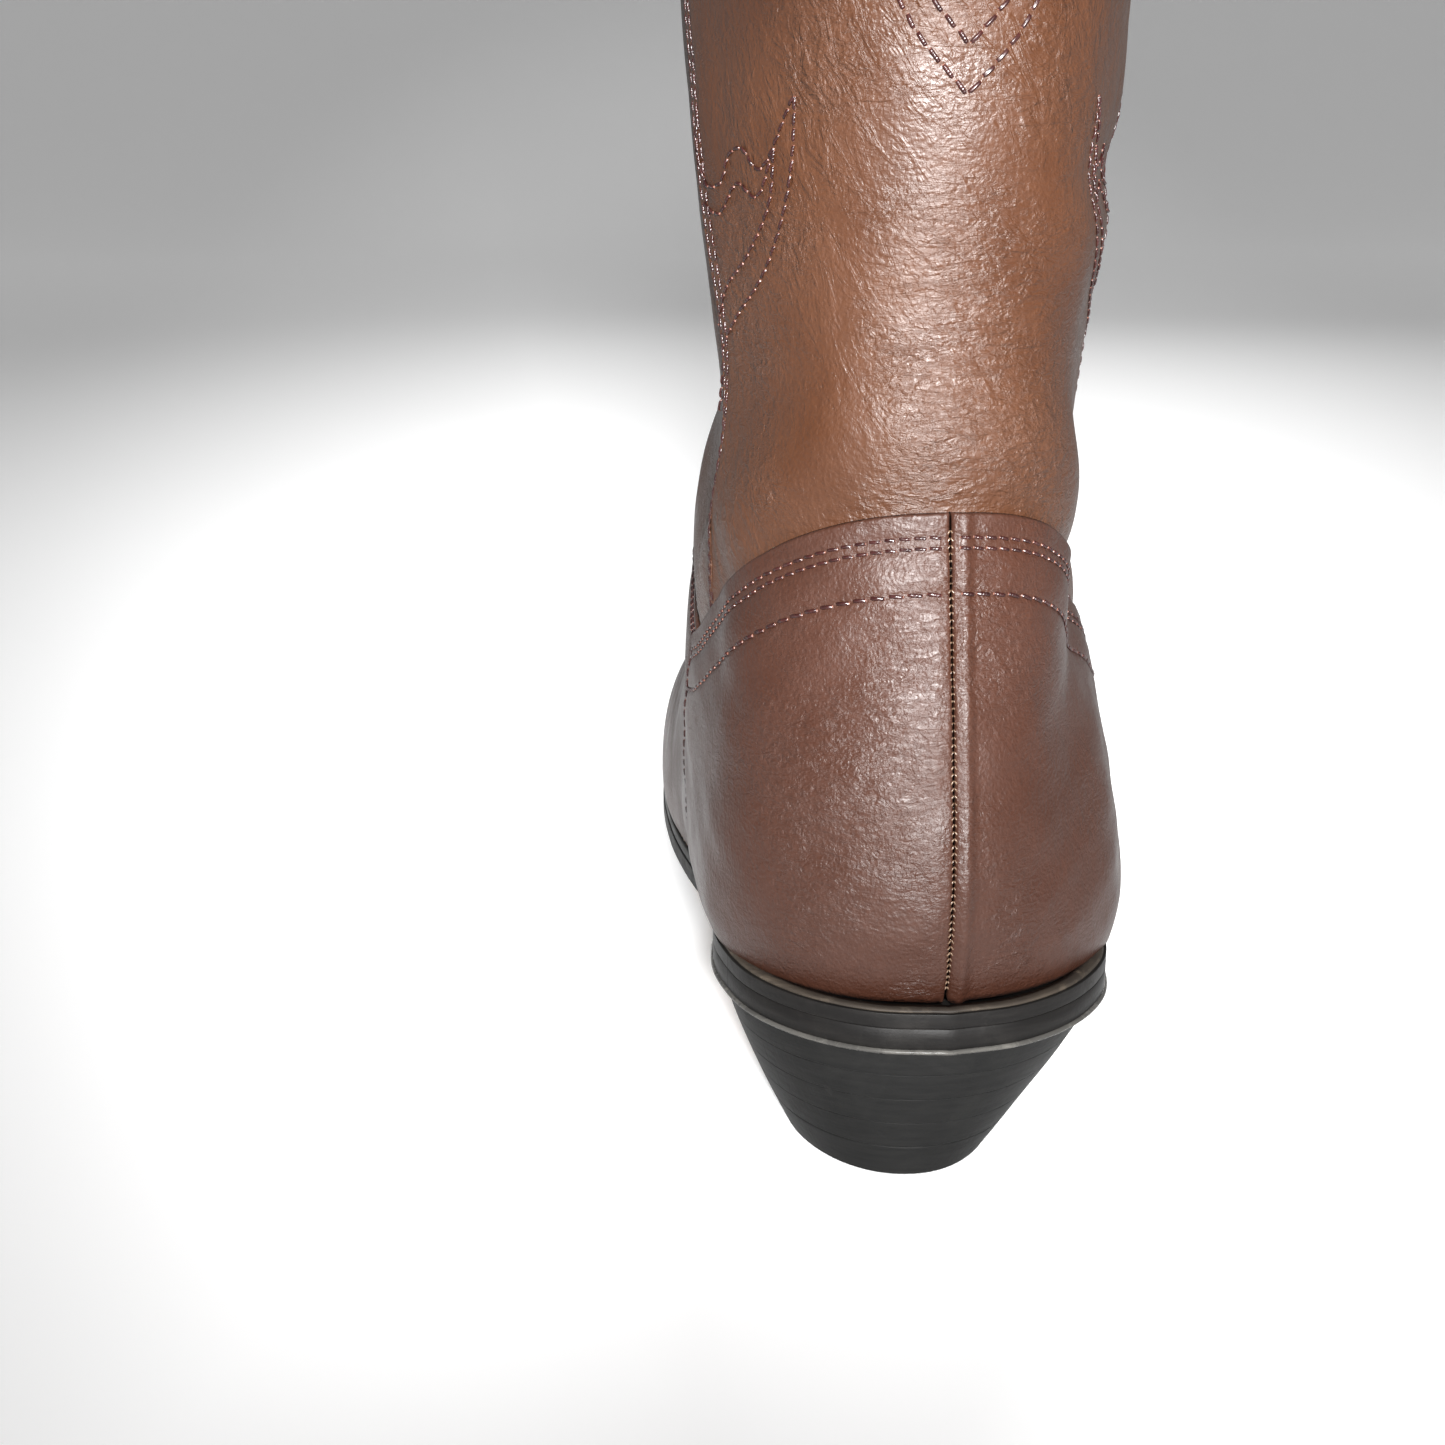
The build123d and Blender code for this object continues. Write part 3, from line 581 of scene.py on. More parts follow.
def leather(name, base, dark, light, roughness=0.42, grain=1500.0, crease=0.6, wrinkle=0.0):
    """Smooth-grained leather: mottled dye, fine pebbles, short creases and long slanting wrinkles."""
    material, tree, shader = new_material(name)
    where = place_texture(tree)
    mottle = ramp(tree, noise(tree, where, 30.0, 4.0, 0.62), 0.32, 0.68)
    cloud = ramp(tree, noise(tree, where, 9.0, 2.0), 0.35, 0.7, 0.0, 0.6)
    speck = ramp(tree, noise(tree, where, 1100.0, 3.0, 0.6), 0.35, 0.70)
    colour = blend_colour(tree, mottle, dark, base)
    colour = blend_colour(tree, cloud, colour, light)
    colour = blend_colour(tree, ramp(tree, speck, 0, 1, 0.0, 0.38), colour, dark)
    fine = noise(tree, place_texture(tree, (1.0, 1.0, 0.55)), 1500.0, 3.0, 0.6, 0.8)
    pebble = add_node(tree, "ShaderNodeTexVoronoi", {"Vector": where, "Scale": grain},
                      feature="SMOOTH_F1").outputs["Distance"]
    short = ramp(tree, noise(tree, place_texture(tree, (1.0, 1.0, 2.4)), 300.0, 5.0, 0.62, 1.4), 0.38, 0.62)
    patch = ramp(tree, noise(tree, where, 34.0, 3.0), 0.42, 0.66)
    normal = bumped(tree, noise(tree, where, 90.0, 3.0), 0.35, 0.0007)
    if wrinkle:
        tilted = place_texture(tree, (0.22, 1.0, 1.0), (0, math.radians(52), 0))
        slanting = ramp(tree, noise(tree, tilted, 330.0, 4.0, 0.6, 0.7), 0.45, 0.62)
        flat = place_texture(tree, (0.35, 1.0, 1.5))
        level = ramp(tree, noise(tree, flat, 260.0, 4.0, 0.6, 0.9), 0.45, 0.62)
        zone = ramp(tree, noise(tree, where, 15.0, 2.0), 0.40, 0.62)
        normal = bumped(tree, maths(tree, "MULTIPLY", slanting, zone), wrinkle, 0.0004, normal)
        normal = bumped(tree, maths(tree, "MULTIPLY", level, patch), wrinkle, 0.0003, normal)
    creased = maths(tree, "MULTIPLY", short, patch)
    layers = ((creased, crease, 0.0003), (fine, 0.55, 0.00022), (pebble, 0.40, 0.00022))
    for height, strength, distance in layers:
        normal = bumped(tree, height, strength, distance, normal)
    gloss = ramp(tree, noise(tree, where, 60.0, 4.0), 0.3, 0.7, roughness - 0.05, roughness + 0.10)
    fill(tree, shader, {"Base Color": colour, "Roughness": gloss, "Normal": normal,
                        "Specular IOR Level": LEATHER_SHINE})
    return material


def painted_leather(name, base, scuff, amount=0.35, roughness=0.42, fibre=0.4):
    """Black edge paint on leather: faint layers, grey scuffs and slanting scratches."""
    material, tree, shader = new_material(name)
    where = place_texture(tree)
    rub = ramp(tree, noise(tree, where, 70.0, 7.0, 0.72, 0.6), 0.50, 0.78)
    steep = place_texture(tree, (1.0, 1.0, 0.10), (0, math.radians(4), 0))
    upright = ramp(tree, noise(tree, steep, 260.0, 3.0, 0.6, 0.5), 0.64, 0.72, 0.0, 0.6)
    tilted = place_texture(tree, (0.10, 1.0, 1.0), (0, math.radians(40), 0))
    slanting = ramp(tree, noise(tree, tilted, 330.0, 2.0, 0.5, 0.4), 0.70, 0.74, 0.0, 0.8)
    scratch = maths(tree, "MAXIMUM", upright, slanting)
    layers = noise(tree, place_texture(tree, (0.10, 0.10, 1.0)), 1000.0, 4.0)
    patch = ramp(tree, noise(tree, where, 40.0), 0.4, 0.6)
    wear = maths(tree, "MAXIMUM", rub, maths(tree, "MULTIPLY", scratch, patch))
    colour = blend_colour(tree, ramp(tree, wear, 0, 1, 0.0, amount), base, scuff)
    colour = blend_colour(tree, ramp(tree, layers, 0.40, 0.70, 0.0, 0.22), colour, scuff)
    normal = bumped(tree, layers, fibre, 0.0002)
    normal = bumped(tree, noise(tree, where, 700.0, 4.0), 0.35, 0.00015, normal)
    normal = bumped(tree, wear, 0.3, 0.0002, normal)
    gloss = ramp(tree, wear, 0, 1, roughness, roughness + 0.2)
    fill(tree, shader, {"Base Color": colour, "Roughness": gloss, "Normal": normal,
                        "Specular IOR Level": PAINT_SHINE})
    return material


def thread(name, base, light):
    """Bonded thread with diagonal plies and a soft shine."""
    material, tree, shader = new_material(name)
    where = place_texture(tree)
    ply = add_node(tree, "ShaderNodeTexWave", {"Vector": where, "Scale": 900.0, "Distortion": 1.5},
                   bands_direction="DIAGONAL").outputs["Fac"]
    colour = blend_colour(tree, ramp(tree, noise(tree, where, 500.0), 0.35, 0.65), base, light)
    fill(tree, shader, {"Base Color": colour, "Normal": bumped(tree, ply, 0.5, 0.00012), "Roughness": 0.35})
    return material


def grainy(name, base, second, scale, roughness, metallic=0.0, bump_depth=0.0002):
    """A plain finish with a fine two-tone grain, for hidden and small parts."""
    material, tree, shader = new_material(name)
    tone = noise(tree, place_texture(tree), scale, 5.0)
    colour = blend_colour(tree, ramp(tree, tone, 0.3, 0.7), base, second)
    fill(tree, shader, {"Base Color": colour, "Normal": bumped(tree, tone, 0.4, bump_depth),
                        "Roughness": roughness, "Metallic": metallic})
    return material


SHAFT_LEATHER = leather("shaft_leather", (0.044, 0.0155, 0.0058), (0.026, 0.0085, 0.0033),
                        (0.060, 0.023, 0.0095), wrinkle=0.55)
VAMP_LEATHER = leather("vamp_leather", (0.030, 0.0095, 0.0048), (0.018, 0.0055, 0.0028),
                       (0.042, 0.0148, 0.0078), roughness=0.44, grain=1700.0, crease=0.5, wrinkle=0.20)
TRIM_LEATHER = leather("binding_leather", (0.030, 0.010, 0.0054), (0.018, 0.006, 0.0032),
                       (0.040, 0.015, 0.0085), roughness=0.45, grain=1900.0, crease=0.3)
LINING = leather("lining_leather", (0.42, 0.27, 0.16), (0.34, 0.21, 0.12), (0.50, 0.34, 0.21),
                 roughness=0.62, grain=1300.0, crease=0.35)
SOCK = leather("sock_leather", (0.33, 0.20, 0.11), (0.22, 0.13, 0.07), (0.40, 0.25, 0.15), roughness=0.5)
HEEL_BLACK = painted_leather("heel_black", (0.0060, 0.0060, 0.0059), (0.018, 0.0175, 0.0165), 0.50, 0.58)
EDGE_BLACK = painted_leather("edge_black", (0.0055, 0.0050, 0.0048), (0.022, 0.020, 0.018), 0.40, 0.50, 0.2)
# the bead's pale grey is a painted highlight along the sole's lower edge; its low roughness is its real
# polish
BEAD_PAINTED_HIGHLIGHT = painted_leather("polished_bead_painted_highlight", (0.045, 0.043, 0.040), (0.20, 0.19, 0.17), 0.6, 0.26, 0.1)
LIP_WORN = painted_leather("worn_lip", (0.022, 0.018, 0.015), (0.12, 0.095, 0.07), 1.0, 0.55)
SOLE_TAN = grainy("sole_tan", (0.36, 0.21, 0.11), (0.24, 0.13, 0.065), 60.0, 0.50)
THREAD = thread("thread_burgundy", (0.011, 0.0022, 0.0020), (0.025, 0.006, 0.005))
# paler thread for the stitches' ends: a painted highlight where each stitch dips into its hole
THREAD_END_HIGHLIGHT = thread("thread_end_painted_highlight", (0.070, 0.026, 0.019), (0.15, 0.07, 0.05))
THREAD_TAN = thread("thread_tan", (0.060, 0.032, 0.018), (0.13, 0.085, 0.055))
TAN_THREADS = (THREAD_TAN, THREAD_TAN)
BOARD = grainy("fibre_board", (0.40, 0.28, 0.18), (0.28, 0.19, 0.12), 500.0, 0.8)
COTTON = grainy("cotton_doubler", (0.62, 0.57, 0.48), (0.50, 0.46, 0.39), 1200.0, 0.9)
CORK = grainy("cork", (0.42, 0.27, 0.15), (0.20, 0.12, 0.06), 350.0, 0.85, bump_depth=0.0005)
STEEL = grainy("shank_steel", (0.45, 0.45, 0.46), (0.33, 0.33, 0.34), 300.0, 0.35, metallic=1.0)
PEG_WOOD = grainy("peg_wood", (0.60, 0.43, 0.24), (0.46, 0.31, 0.16), 800.0, 0.6)


# ---------------------------------------------------------------- stitches
def at_run(line, run, place):
    """A line's value at one place along its run."""
    return np.array([np.interp(place, run, line[:, i]) for i in range(3)])


def stitch_row(name, path, normals, slot, length=2.15, pitch=2.35, radius=0.27, slant=0.10,
               colours=(THREAD, THREAD_END_HIGHLIGHT)):
    """Thread stitches along a path of working points, each dipping into its holes; the ends take the second
    colour, which for the burgundy rows is a paler thread that paints a highlight.
    """
    run = lengths(path)
    count = max(int(run[-1] / pitch), 1)
    centres = (np.arange(count) + 0.5) * run[-1] / count
    along = np.array([-1, -0.84, -0.55, 0, 0.55, 0.84, 1])
    lift = np.array([-0.75, 0.05, 0.38, 0.45, 0.38, 0.05, -0.75])
    thick = np.array([0.5, 0.85, 1.0, 1.0, 1.0, 0.85, 0.5])
    ring = np.linspace(0, 2 * math.pi, 8, endpoint=False)
    vertices, faces, highlight_index = [], [], []
    for centre in centres:
        half = 0.5 * length * rng.uniform(0.92, 1.06)
        p, q, r = (at_run(path, run, centre + d) for d in (-half, 0, half))
        n = at_run(normals, run, centre)
        n /= np.linalg.norm(n)
        t = (r - p) / np.linalg.norm(r - p)
        t = t + np.cross(n, t) * (slant + rng.uniform(-0.05, 0.05))
        t /= np.linalg.norm(t)
        side = np.cross(n, t)
        chord = (p + r) / 2
        base = len(vertices)
        for s, up, w in zip(along, lift, thick):
            middle = chord + (q - chord) * (1 - s * s) + t * s * half + n * (up * radius * 1.5)
            vertices += [middle + (side * math.cos(a) + n * math.sin(a) * 0.8) * radius * w for a in ring]
        faces += grid_faces(len(along), 8, wrap_columns=True, base=base)
        faces += [[base + j for j in range(8)], [base + 48 + j for j in range(8)]]
        # the end rings and caps take the second colour, a painted highlight on the burgundy rows
        highlight_index += [1] * 8 + [0] * 32 + [1] * 8 + [1, 1]
    piece = make_mesh(name, np.array(vertices), faces, colours[0], slot=slot)
    piece.data.materials.append(colours[1])
    piece.data.polygons.foreach_set("material_index", highlight_index)


def row_on(name, panel, distance, value, axis, keep, slot, **kw):
    """Stitches on a panel along a line at a distance from one of its edges."""
    path, normals = panel.line(distance, value, axis)
    stitch_row(name, path[keep], normals[keep], slot, **kw)


# ---------------------------------------------------------------- seams
def vamp_room(p):
    """Negative inside the vamp: in front of the counter's edge and below the vamp's top."""
    return np.maximum(smooth(COUNTER_EDGE, p[..., 2]) - p[..., 1], p[..., 2] - smooth(VAMP_TOP, p[..., 1]))


topline = height_line(TOPLINE, 0.0, 120.0)
counter_top = height_line(COUNTER_TOP, SHAFT_RUN - 20, SHAFT_RUN + FAN_RUN)
counter_foot = height_line(FEATHER_LINE, SHAFT_RUN + 40, SHAFT_RUN + FAN_RUN + 10)
counter_edge = run_line(lambda p: smooth(COUNTER_EDGE, p[..., 2]) - p[..., 1], SHAFT_RUN + 60, SKIN_RUN)
vamp_start = run_line(vamp_room, SHAFT_RUN, SHAFT_RUN + FAN_RUN + 40)
back_foot = height_line(COUNTER_TOP, 60.0, SHAFT_RUN + FAN_RUN, TUCK)
front_foot = height_line(VAMP_TOP, 60.0, SHAFT_RUN + FAN_RUN, TUCK)
seam_line = {1: side_line(1), -1: side_line(-1)}
feather_line = {1: feather_side(1), -1: feather_side(-1)}


def slouch(p):
    """Outward swell of the soft shaft: it slumps over the counter, folds and ripples a little."""
    over = p[..., 2] - np.where(p[..., 1] < 67, smooth(COUNTER_TOP, p[..., 1]), smooth(VAMP_TOP, p[..., 1]))
    roll = 2.3 * bump(over, 12, 10) - 0.5 * bump(over, 0, 3)
    across = p[..., 0] + 0.35 * (p[..., 1] - 40)
    pinch = -1.4 * bump(p[..., 2] - 0.25 * across, 170, 6) * step(-p[..., 0], 16, 30)
    swell = 1.2 * bump(p[..., 2], 153, 9) * step(-p[..., 0], 10, 26)
    ripple = 0.55 * waves(p * np.array([1, 1, 1.6]), 55.0, 3) + 0.16 * waves(p, 20.0, 5)
    return roll + pinch + swell + ripple * step(over, 2, 30)


# ---------------------------------------------------------------- leather panels
def counter(side, sign):
    """Half of the heel counter: its top edge, its share of the raised back seam and its stitches."""
    back = 0.5 * sign
    high = meet(counter_top, counter_edge, back, 0.05 * sign)
    low = meet(counter_foot, counter_edge, back, 0.05 * sign)
    heights = float(counter_top(back)), float(counter_foot(back))
    panel = Panel(between(counter_top, back, high), between(counter_foot, back, low),
                  between(lambda run: 0 * run + back, *heights, of_run=True),
                  between(counter_edge, high, low),
                  spaced(98, 1.2, ((0, 6, 0.35),)), spaced(82, 1.1, ((0, 15, 0.33),), ()))
    top, seam, front, foot = panel.from_top, panel.from_left, panel.from_right, panel.from_bottom
    ridge = 0.75 * bump(seam, 2.1, 1.25) if sign < 0 else 0.22 * bump(seam, 2.6, 1.6)
    depth = edge_drop(top) + edge_drop(seam, 0.8) + 0.6 * edge_drop(front, 0.5) - ridge
    for row in COUNTER_ROWS:
        depth = depth + 0.22 * bump(top, row, 0.6)
    depth = depth - 0.25 * bump(top, 9, 2.6) + 0.16 * bump(front, 2.0, 0.6)
    depth = depth - 0.30 * waves(panel.base, 34.0, 11) * step(top, 6, 30) * step(foot, 0, 12)
    depth = depth - 0.14 * waves(panel.base * np.array([1, 1, 2]), 13.0, 2) * step(foot, 0, 8)
    panel.form(f"counter_{side}_leather", depth, LEATHER, VAMP_LEATHER, "vamp_leather", f"counter_{side}")
    inside = (seam[:, 0] > 1.0) & (front[:, 0] > 1.0)
    for k, row in enumerate(COUNTER_ROWS):
        large = {"length": 2.7, "pitch": 2.9, "radius": 0.32} if k == 2 else {}
        row_on(f"counter_{side}_row_{k + 1}", panel, top, row, 1, inside, "vamp_leather", **large)
    row_on(f"counter_{side}_front_row", panel, front, 2.0, 0, (top[-1] > 3) & (foot[-1] > 2), "vamp_leather")


def back_seam():
    """Small cross stitches down the closed back seam."""
    runs = np.linspace(float(counter_top(0.5)) + 1.5, float(counter_foot(0.5)) - 1, 240)
    normals = outward(np.full(240, 0.5), runs)
    for k, side in enumerate((-1, 1)):
        path = skin(0.5, runs, 0.34)
        path[:, 0] += side * 0.30
        stitch_row(f"back_seam_row_{k + 1}", path, normals, "vamp_leather", length=0.8, pitch=1.15,
                   radius=0.13, slant=0.7 * side, colours=TAN_THREADS)


def vamp():
    """The vamp, from the counter seams and the tongue over the toe to the welt."""
    ends = {s: meet(vamp_start, counter_foot, 0.5 * s, 0.05 * s) for s in (1, -1)}
    sides = [between(feather_line[s], float(vamp_start(ends[s])), SKIN_RUN - 0.05, of_run=True)
             for s in (-1, 1)]
    for side, s in zip(sides, (-1, 1)):
        side[0] = (ends[s], float(vamp_start(ends[s])))
    toe = np.linspace(sides[0][-1], sides[1][-1], 60)
    panel = Panel(between(vamp_start, ends[-1], ends[1], 900), toe, sides[0], sides[1],
                  spaced(290, 1.35, (), ()), spaced(200, 1.25, ((0, 6, 0.4),), ()))
    start, reach, z = panel.from_top, panel.base[..., 1], panel.base[..., 2]
    flex = step(reach, 150, 175) * (1 - step(reach, 215, 235)) * step(z, 18, 40)
    fold = 0.5 + 0.5 * np.sin(reach * 0.55 + 1.6 * waves(panel.base, 50.0, 4))
    depth = edge_drop(start) + 0.45 * flex * fold**2 - 0.3 * waves(panel.base, 42.0, 21)
    for row in VAMP_ROWS:
        depth = depth + 0.16 * bump(start, row, 0.6)
    behind = (reach < 97) & (np.abs(panel.turn) > 0.2)
    depth = depth + np.where(behind, 0.8 * (1 - step(start, 0, 9)), 0)
    panel.form("vamp_leather", depth, LEATHER, VAMP_LEATHER, "vamp_leather", "vamp")
    for k, row in enumerate(VAMP_ROWS):
        row_on(f"vamp_top_row_{k + 1}", panel, start, row, 1, z[:, 0] > 80.0, "vamp_leather")


def shaft(name, left, right, foot):
    """A shaft panel between its side seams, from the topline down behind the counter or vamp."""
    def end(seam, line, low, high):
        return meet(lambda run: line(seam(run)), lambda run: run, low, high)
    tops = [end(seam, topline, 5, 110) for seam in (left, right)]
    feet = [end(seam, foot, 150, SHAFT_RUN + 125) for seam in (left, right)]
    panel = Panel(between(topline, left(tops[0]), right(tops[1]), 900),
                  between(foot, left(feet[0]), right(feet[1]), 900),
                  between(left, tops[0], feet[0], of_run=True), between(right, tops[1], feet[1], of_run=True),
                  spaced(135, 1.1, ((0, 6, 0.4),), ((0, 6, 0.4),)), spaced(190, 1.0, (), ()))
    seam = np.minimum(panel.from_left, panel.from_right)
    depth = SHAFT_DEPTH - slouch(panel.base)
    if name == "shaft_back":
        depth = depth - 1.0 * (1 - step(seam, 3, 16)) + edge_drop(seam)
        for row in SEAM_ROWS:
            depth = depth + 0.22 * bump(seam, row, 0.6)
    else:
        depth = depth + 0.75 * (1 - step(seam, 0, 10))
    depth = np.minimum(depth, LINING_DEPTH)
    panel.form(name + "_leather", depth, SHAFT_LEATHER_T, SHAFT_LEATHER, "shaft_leather", name)
    return panel


def seam_rows(panel):
    """Two rows of stitches beside each side seam, on the lapped back panel."""
    keep = (panel.from_top[0] > 8) & (panel.from_bottom[0] > 6)
    for side, distance in (("medial", panel.from_left), ("lateral", panel.from_right)):
        for k, row in enumerate(SEAM_ROWS):
            row_on(f"side_seam_{side}_row_{k + 1}", panel, distance, row, 0, keep, "shaft_leather")


# ---------------------------------------------------------------- stitched pattern on the shaft
GIRTH_HEIGHTS = np.linspace(112, 262, 76)


def girth_table(middle):
    """Distance round the shaft from its middle, by height and turn, with the run of each place."""
    turns = middle + np.linspace(-0.34, 0.34, 341)
    at = np.linspace(50, SHAFT_RUN + 120, 900)
    z = skin(turns[:, None], at[None, :])[..., 2]
    table = []
    for height in GIRTH_HEIGHTS:
        run = filled(first_crossing(z - height, at))
        length = lengths(skin(turns, run))
        table.append((length - np.interp(middle, turns, length), run))
    return turns, table


def shaft_line(table, points, mirrored):
    """A smooth line on the shaft, as (turn, run) points."""
    turns, rows = table
    line = dense(points, 160)
    found = []
    for distance, height in line:
        k = int(np.clip(np.searchsorted(GIRTH_HEIGHTS, height) - 1, 0, len(GIRTH_HEIGHTS) - 2))
        share = (height - GIRTH_HEIGHTS[k]) / (GIRTH_HEIGHTS[k + 1] - GIRTH_HEIGHTS[k])
        pair = []
        for length, run in rows[k:k + 2]:
            turn = np.interp(-distance if mirrored else distance, length, turns)
            pair.append((turn, np.interp(turn, turns, run)))
        found.append(np.array(pair[0]) * (1 - share) + np.array(pair[1]) * share)
    return np.array(found)


def stitched_motif(name, panel, table, points, mirrored, **kw):
    """A row of stitches along a pattern line on a shaft panel."""
    at = shaft_line(table, points, mirrored)
    turn, run = at[:, 0], at[:, 1]
    if panel.turn.min() >= 0:
        turn = np.mod(turn, 1.0)
    path = skin(turn, run, panel.depth_at(turn, run))
    stitch_row(name, path, outward(turn, run), "shaft_leather", **kw)


def scaled(points, middle, share):
    """A pattern line drawn in towards a point, for the second row."""
    return [(middle[0] + (x - middle[0]) * share, middle[1] + (z - middle[1]) * share) for x, z in points]


def motifs(back, front):
    """Twin rows of flame stitching: one flame up the middle of each panel, one beside each side seam."""
    back_table, front_table = girth_table(0.5), girth_table(0.0)
    large = {"length": 2.6, "pitch": 2.95, "radius": 0.34}
    for k, mirrored in enumerate((False, True)):
        for j, share in enumerate((1.0, 0.82)):
            flame = scaled(BACK_FLAME, (0, 213), share)
            stitched_motif(f"back_flame_{k}_{j}", back, back_table, flame, mirrored, **large)
            flame = scaled(FRONT_FLAME, (0, 198), share)
            stitched_motif(f"front_flame_{k}_{j}", front, front_table, flame, mirrored, **large)
        for j, line in enumerate((SIDE_FLAME, SIDE_TONGUES, SIDE_INNER, TONGUES_INNER)):
            stitched_motif(f"side_flame_{k}_{j}", back, back_table, line, mirrored)
        for j, share in enumerate((1.0, 0.8)):
            line = scaled(FRONT_SIDE, (38, 190), share)
            stitched_motif(f"front_side_{k}_{j}", front, front_table, line, mirrored)


# ---------------------------------------------------------------- sole and heel
def outline():
    """The sole's closed plan outline as (reach, x) points, with outward normals."""
    medial, lateral = evenly(dense(SOLE_MEDIAL), 240), evenly(dense(SOLE_LATERAL), 240)[::-1]
    loop = np.concatenate([medial[:-1], lateral[:-1]])
    d = np.roll(loop, -1, axis=0) - np.roll(loop, 1, axis=0)
    n = np.column_stack([-d[:, 1], d[:, 0]])
    n /= np.linalg.norm(n, axis=1)[:, None]
    return loop, n * np.sign((n * (loop - loop.mean(axis=0))).sum())


def stretch(keep):
    """The part of the outline whose reach passes a test, in order."""
    loop, n = outline()
    chosen = keep(loop[:, 0])
    start = int(np.argmax(chosen & ~np.roll(chosen, 1)))
    order = [(start + i) % len(loop) for i in range(len(loop)) if chosen[(start + i) % len(loop)]]
    return loop[order], n[order]


def round_edge(loop, n, out, up):
    """The outline moved outwards and up from the welt's top, as working points."""
    at = loop + n * out
    return np.column_stack([at[:, 1], at[:, 0], feather(loop[:, 0]) + up])


def band(name, profile, material, keep, **kw):
    """A strip along the sole's edge. profile holds (outward, height over the welt's top) points."""
    loop, n = stretch(keep)
    p = np.stack([round_edge(loop, n, out, up) for out, up in profile], axis=1)
    rows, columns = p.shape[:2]
    faces = grid_faces(rows, columns, wrap_columns=True)
    faces += [list(range(columns)), [(rows - 1) * columns + j for j in range(columns)]]
    return make_mesh(name, p.reshape(-1, 3), faces, material, **kw)


def rounded_bar(x0, x1, z0, z1, radius):
    """A bar's cross-section with two rounded outer corners, (outward, height)."""
    points = [(x0, z0)]
    for turn, z in ((-math.pi / 2, z0 + radius), (0.0, z1 - radius)):
        for k in range(5):
            a = turn + k * math.pi / 8
            points.append((x1 - radius + radius * math.cos(a), z + radius * math.sin(a)))
    return points + [(x0, z1)]


def outsole():
    """The outsole: rounded black edge and a flat tan bottom."""
    loop, n = outline()
    top, bottom = -WELT_T - 0.05, -WELT_T - OUTSOLE_T
    profile = [(-0.9, top), (-0.05, top - 0.02), (0.05, top - 0.15), (0.05, top - 2.0), (0.0, bottom + 0.9),
               (-0.35, bottom + 0.2), (-1.0, bottom)]
    rings = [round_edge(loop, n, out, up) for out, up in profile]
    spine = np.column_stack([0 * loop[:, 0], np.clip(loop[:, 0], 16, 268)])

    def inward(edge, height, shares):
        flats = [edge[:, :2] * (1 - s) + spine * s for s in shares]
        return [np.column_stack([at, feather(at[:, 1]) + height]) for at in flats]

    rings = (inward(rings[0], top, (1.0, 0.6, 0.25)) + rings
             + inward(rings[-1], bottom, (0.12, 0.3, 0.5, 0.7, 0.88, 1.0)))
    p = np.stack(rings, axis=1)
    faces = grid_faces(*p.shape[:2], wrap_rows=True)
    piece = make_mesh("outsole_leather", p.reshape(-1, 3), faces, EDGE_BLACK, slot="outsole_leather")
    piece.data.materials.append(SOLE_TAN)
    for polygon in piece.data.polygons:
        if polygon.normal.z < -0.8:
            polygon.material_index = 1
    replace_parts(piece, "outsole")


def heel_ring(share, grow):
    """The heel's outline at a share of the way from the floor to the seat, moved outwards by grow."""
    share = min(share, 1.0)
    swell = 1 - (1 - share) ** 1.15
    half = HEEL_FOOT_HALF + (HEEL_SEAT_HALF - HEEL_FOOT_HALF) * swell + grow
    corner = half * 0.96
    back = HEEL_BACK_FOOT * (1 - share) + HEEL_BACK_SEAT * share - grow
    front = HEEL_BREAST_FOOT + (HEEL_BREAST - HEEL_BREAST_FOOT) * share + grow * 0.6
    waist = back + 0.62 * (front - back)
    t = np.linspace(-math.pi / 2, math.pi / 2, 96)
    rim = np.column_stack([half * np.sin(t), waist - (waist - back) * np.cos(t) ** 0.94])
    rim = evenly(np.concatenate([[(-corner, front)], rim, [(corner, front)]]), 96)
    across = np.linspace(corner, -corner, 25)[1:-1]
    breast = np.column_stack([across, front - 2.5 * (1 - (across / corner) ** 2)])
    return np.concatenate([rim, breast]) + np.array([HEEL_LEAN * (1 - share), 0])


def heel_block(name, z0, z1, seat, bevel):
    """One lift of the heel, with slightly rounded rims so that the stack shows fine lines."""
    levels = [(z0, -bevel), (z0 + bevel, 0.0), (z0 + 3 * bevel, 0.0), ((z0 + z1) / 2, 0.0),
              (z1 - 3 * bevel, 0.0), (z1 - bevel, 0.0), (z1, -bevel)]
    rings = []
    for z, grow in levels:
        ring = heel_ring(z / seat, grow)
        height = np.full(len(ring), z)
        if z > seat - 1:
            height = np.minimum(z, feather(ring[:, 1]) - WELT_T - OUTSOLE_T - 0.05)
        ring = ring + 0.05 * waves(np.column_stack([ring, height]), 15.0, 31)[:, None]
        rings.append(np.column_stack([ring, height]))
    centre = rings[0].mean(axis=0) * np.array([1, 1, 0])

    def shrunk(ring, share):
        return centre + (ring - centre) * np.array([share, share, 1])

    rings = ([shrunk(rings[0], s) for s in (0.02, 0.5, 0.9)] + rings
             + [shrunk(rings[-1], s) for s in (0.9, 0.5, 0.02)])
    return lathe(name, rings, HEEL_BLACK, slot="heel_leather")


def heel():
    """The stacked heel and its rubber cap."""
    seat = SEAT_Z - WELT_T - OUTSOLE_T
    lift = (seat - HEEL_CAP_T) / LIFT_COUNT
    for k in range(LIFT_COUNT):
        top = seat - k * lift
        piece = heel_block(f"stacked_lift_{k + 1}", top - lift + 0.01, top - 0.01, seat, 0.05)
        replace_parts(piece, f"heel_lift_{k + 1}")
    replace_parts(heel_block("rubber_cap", 0.0, HEEL_CAP_T - 0.02, seat, 0.12), "heel_cap")


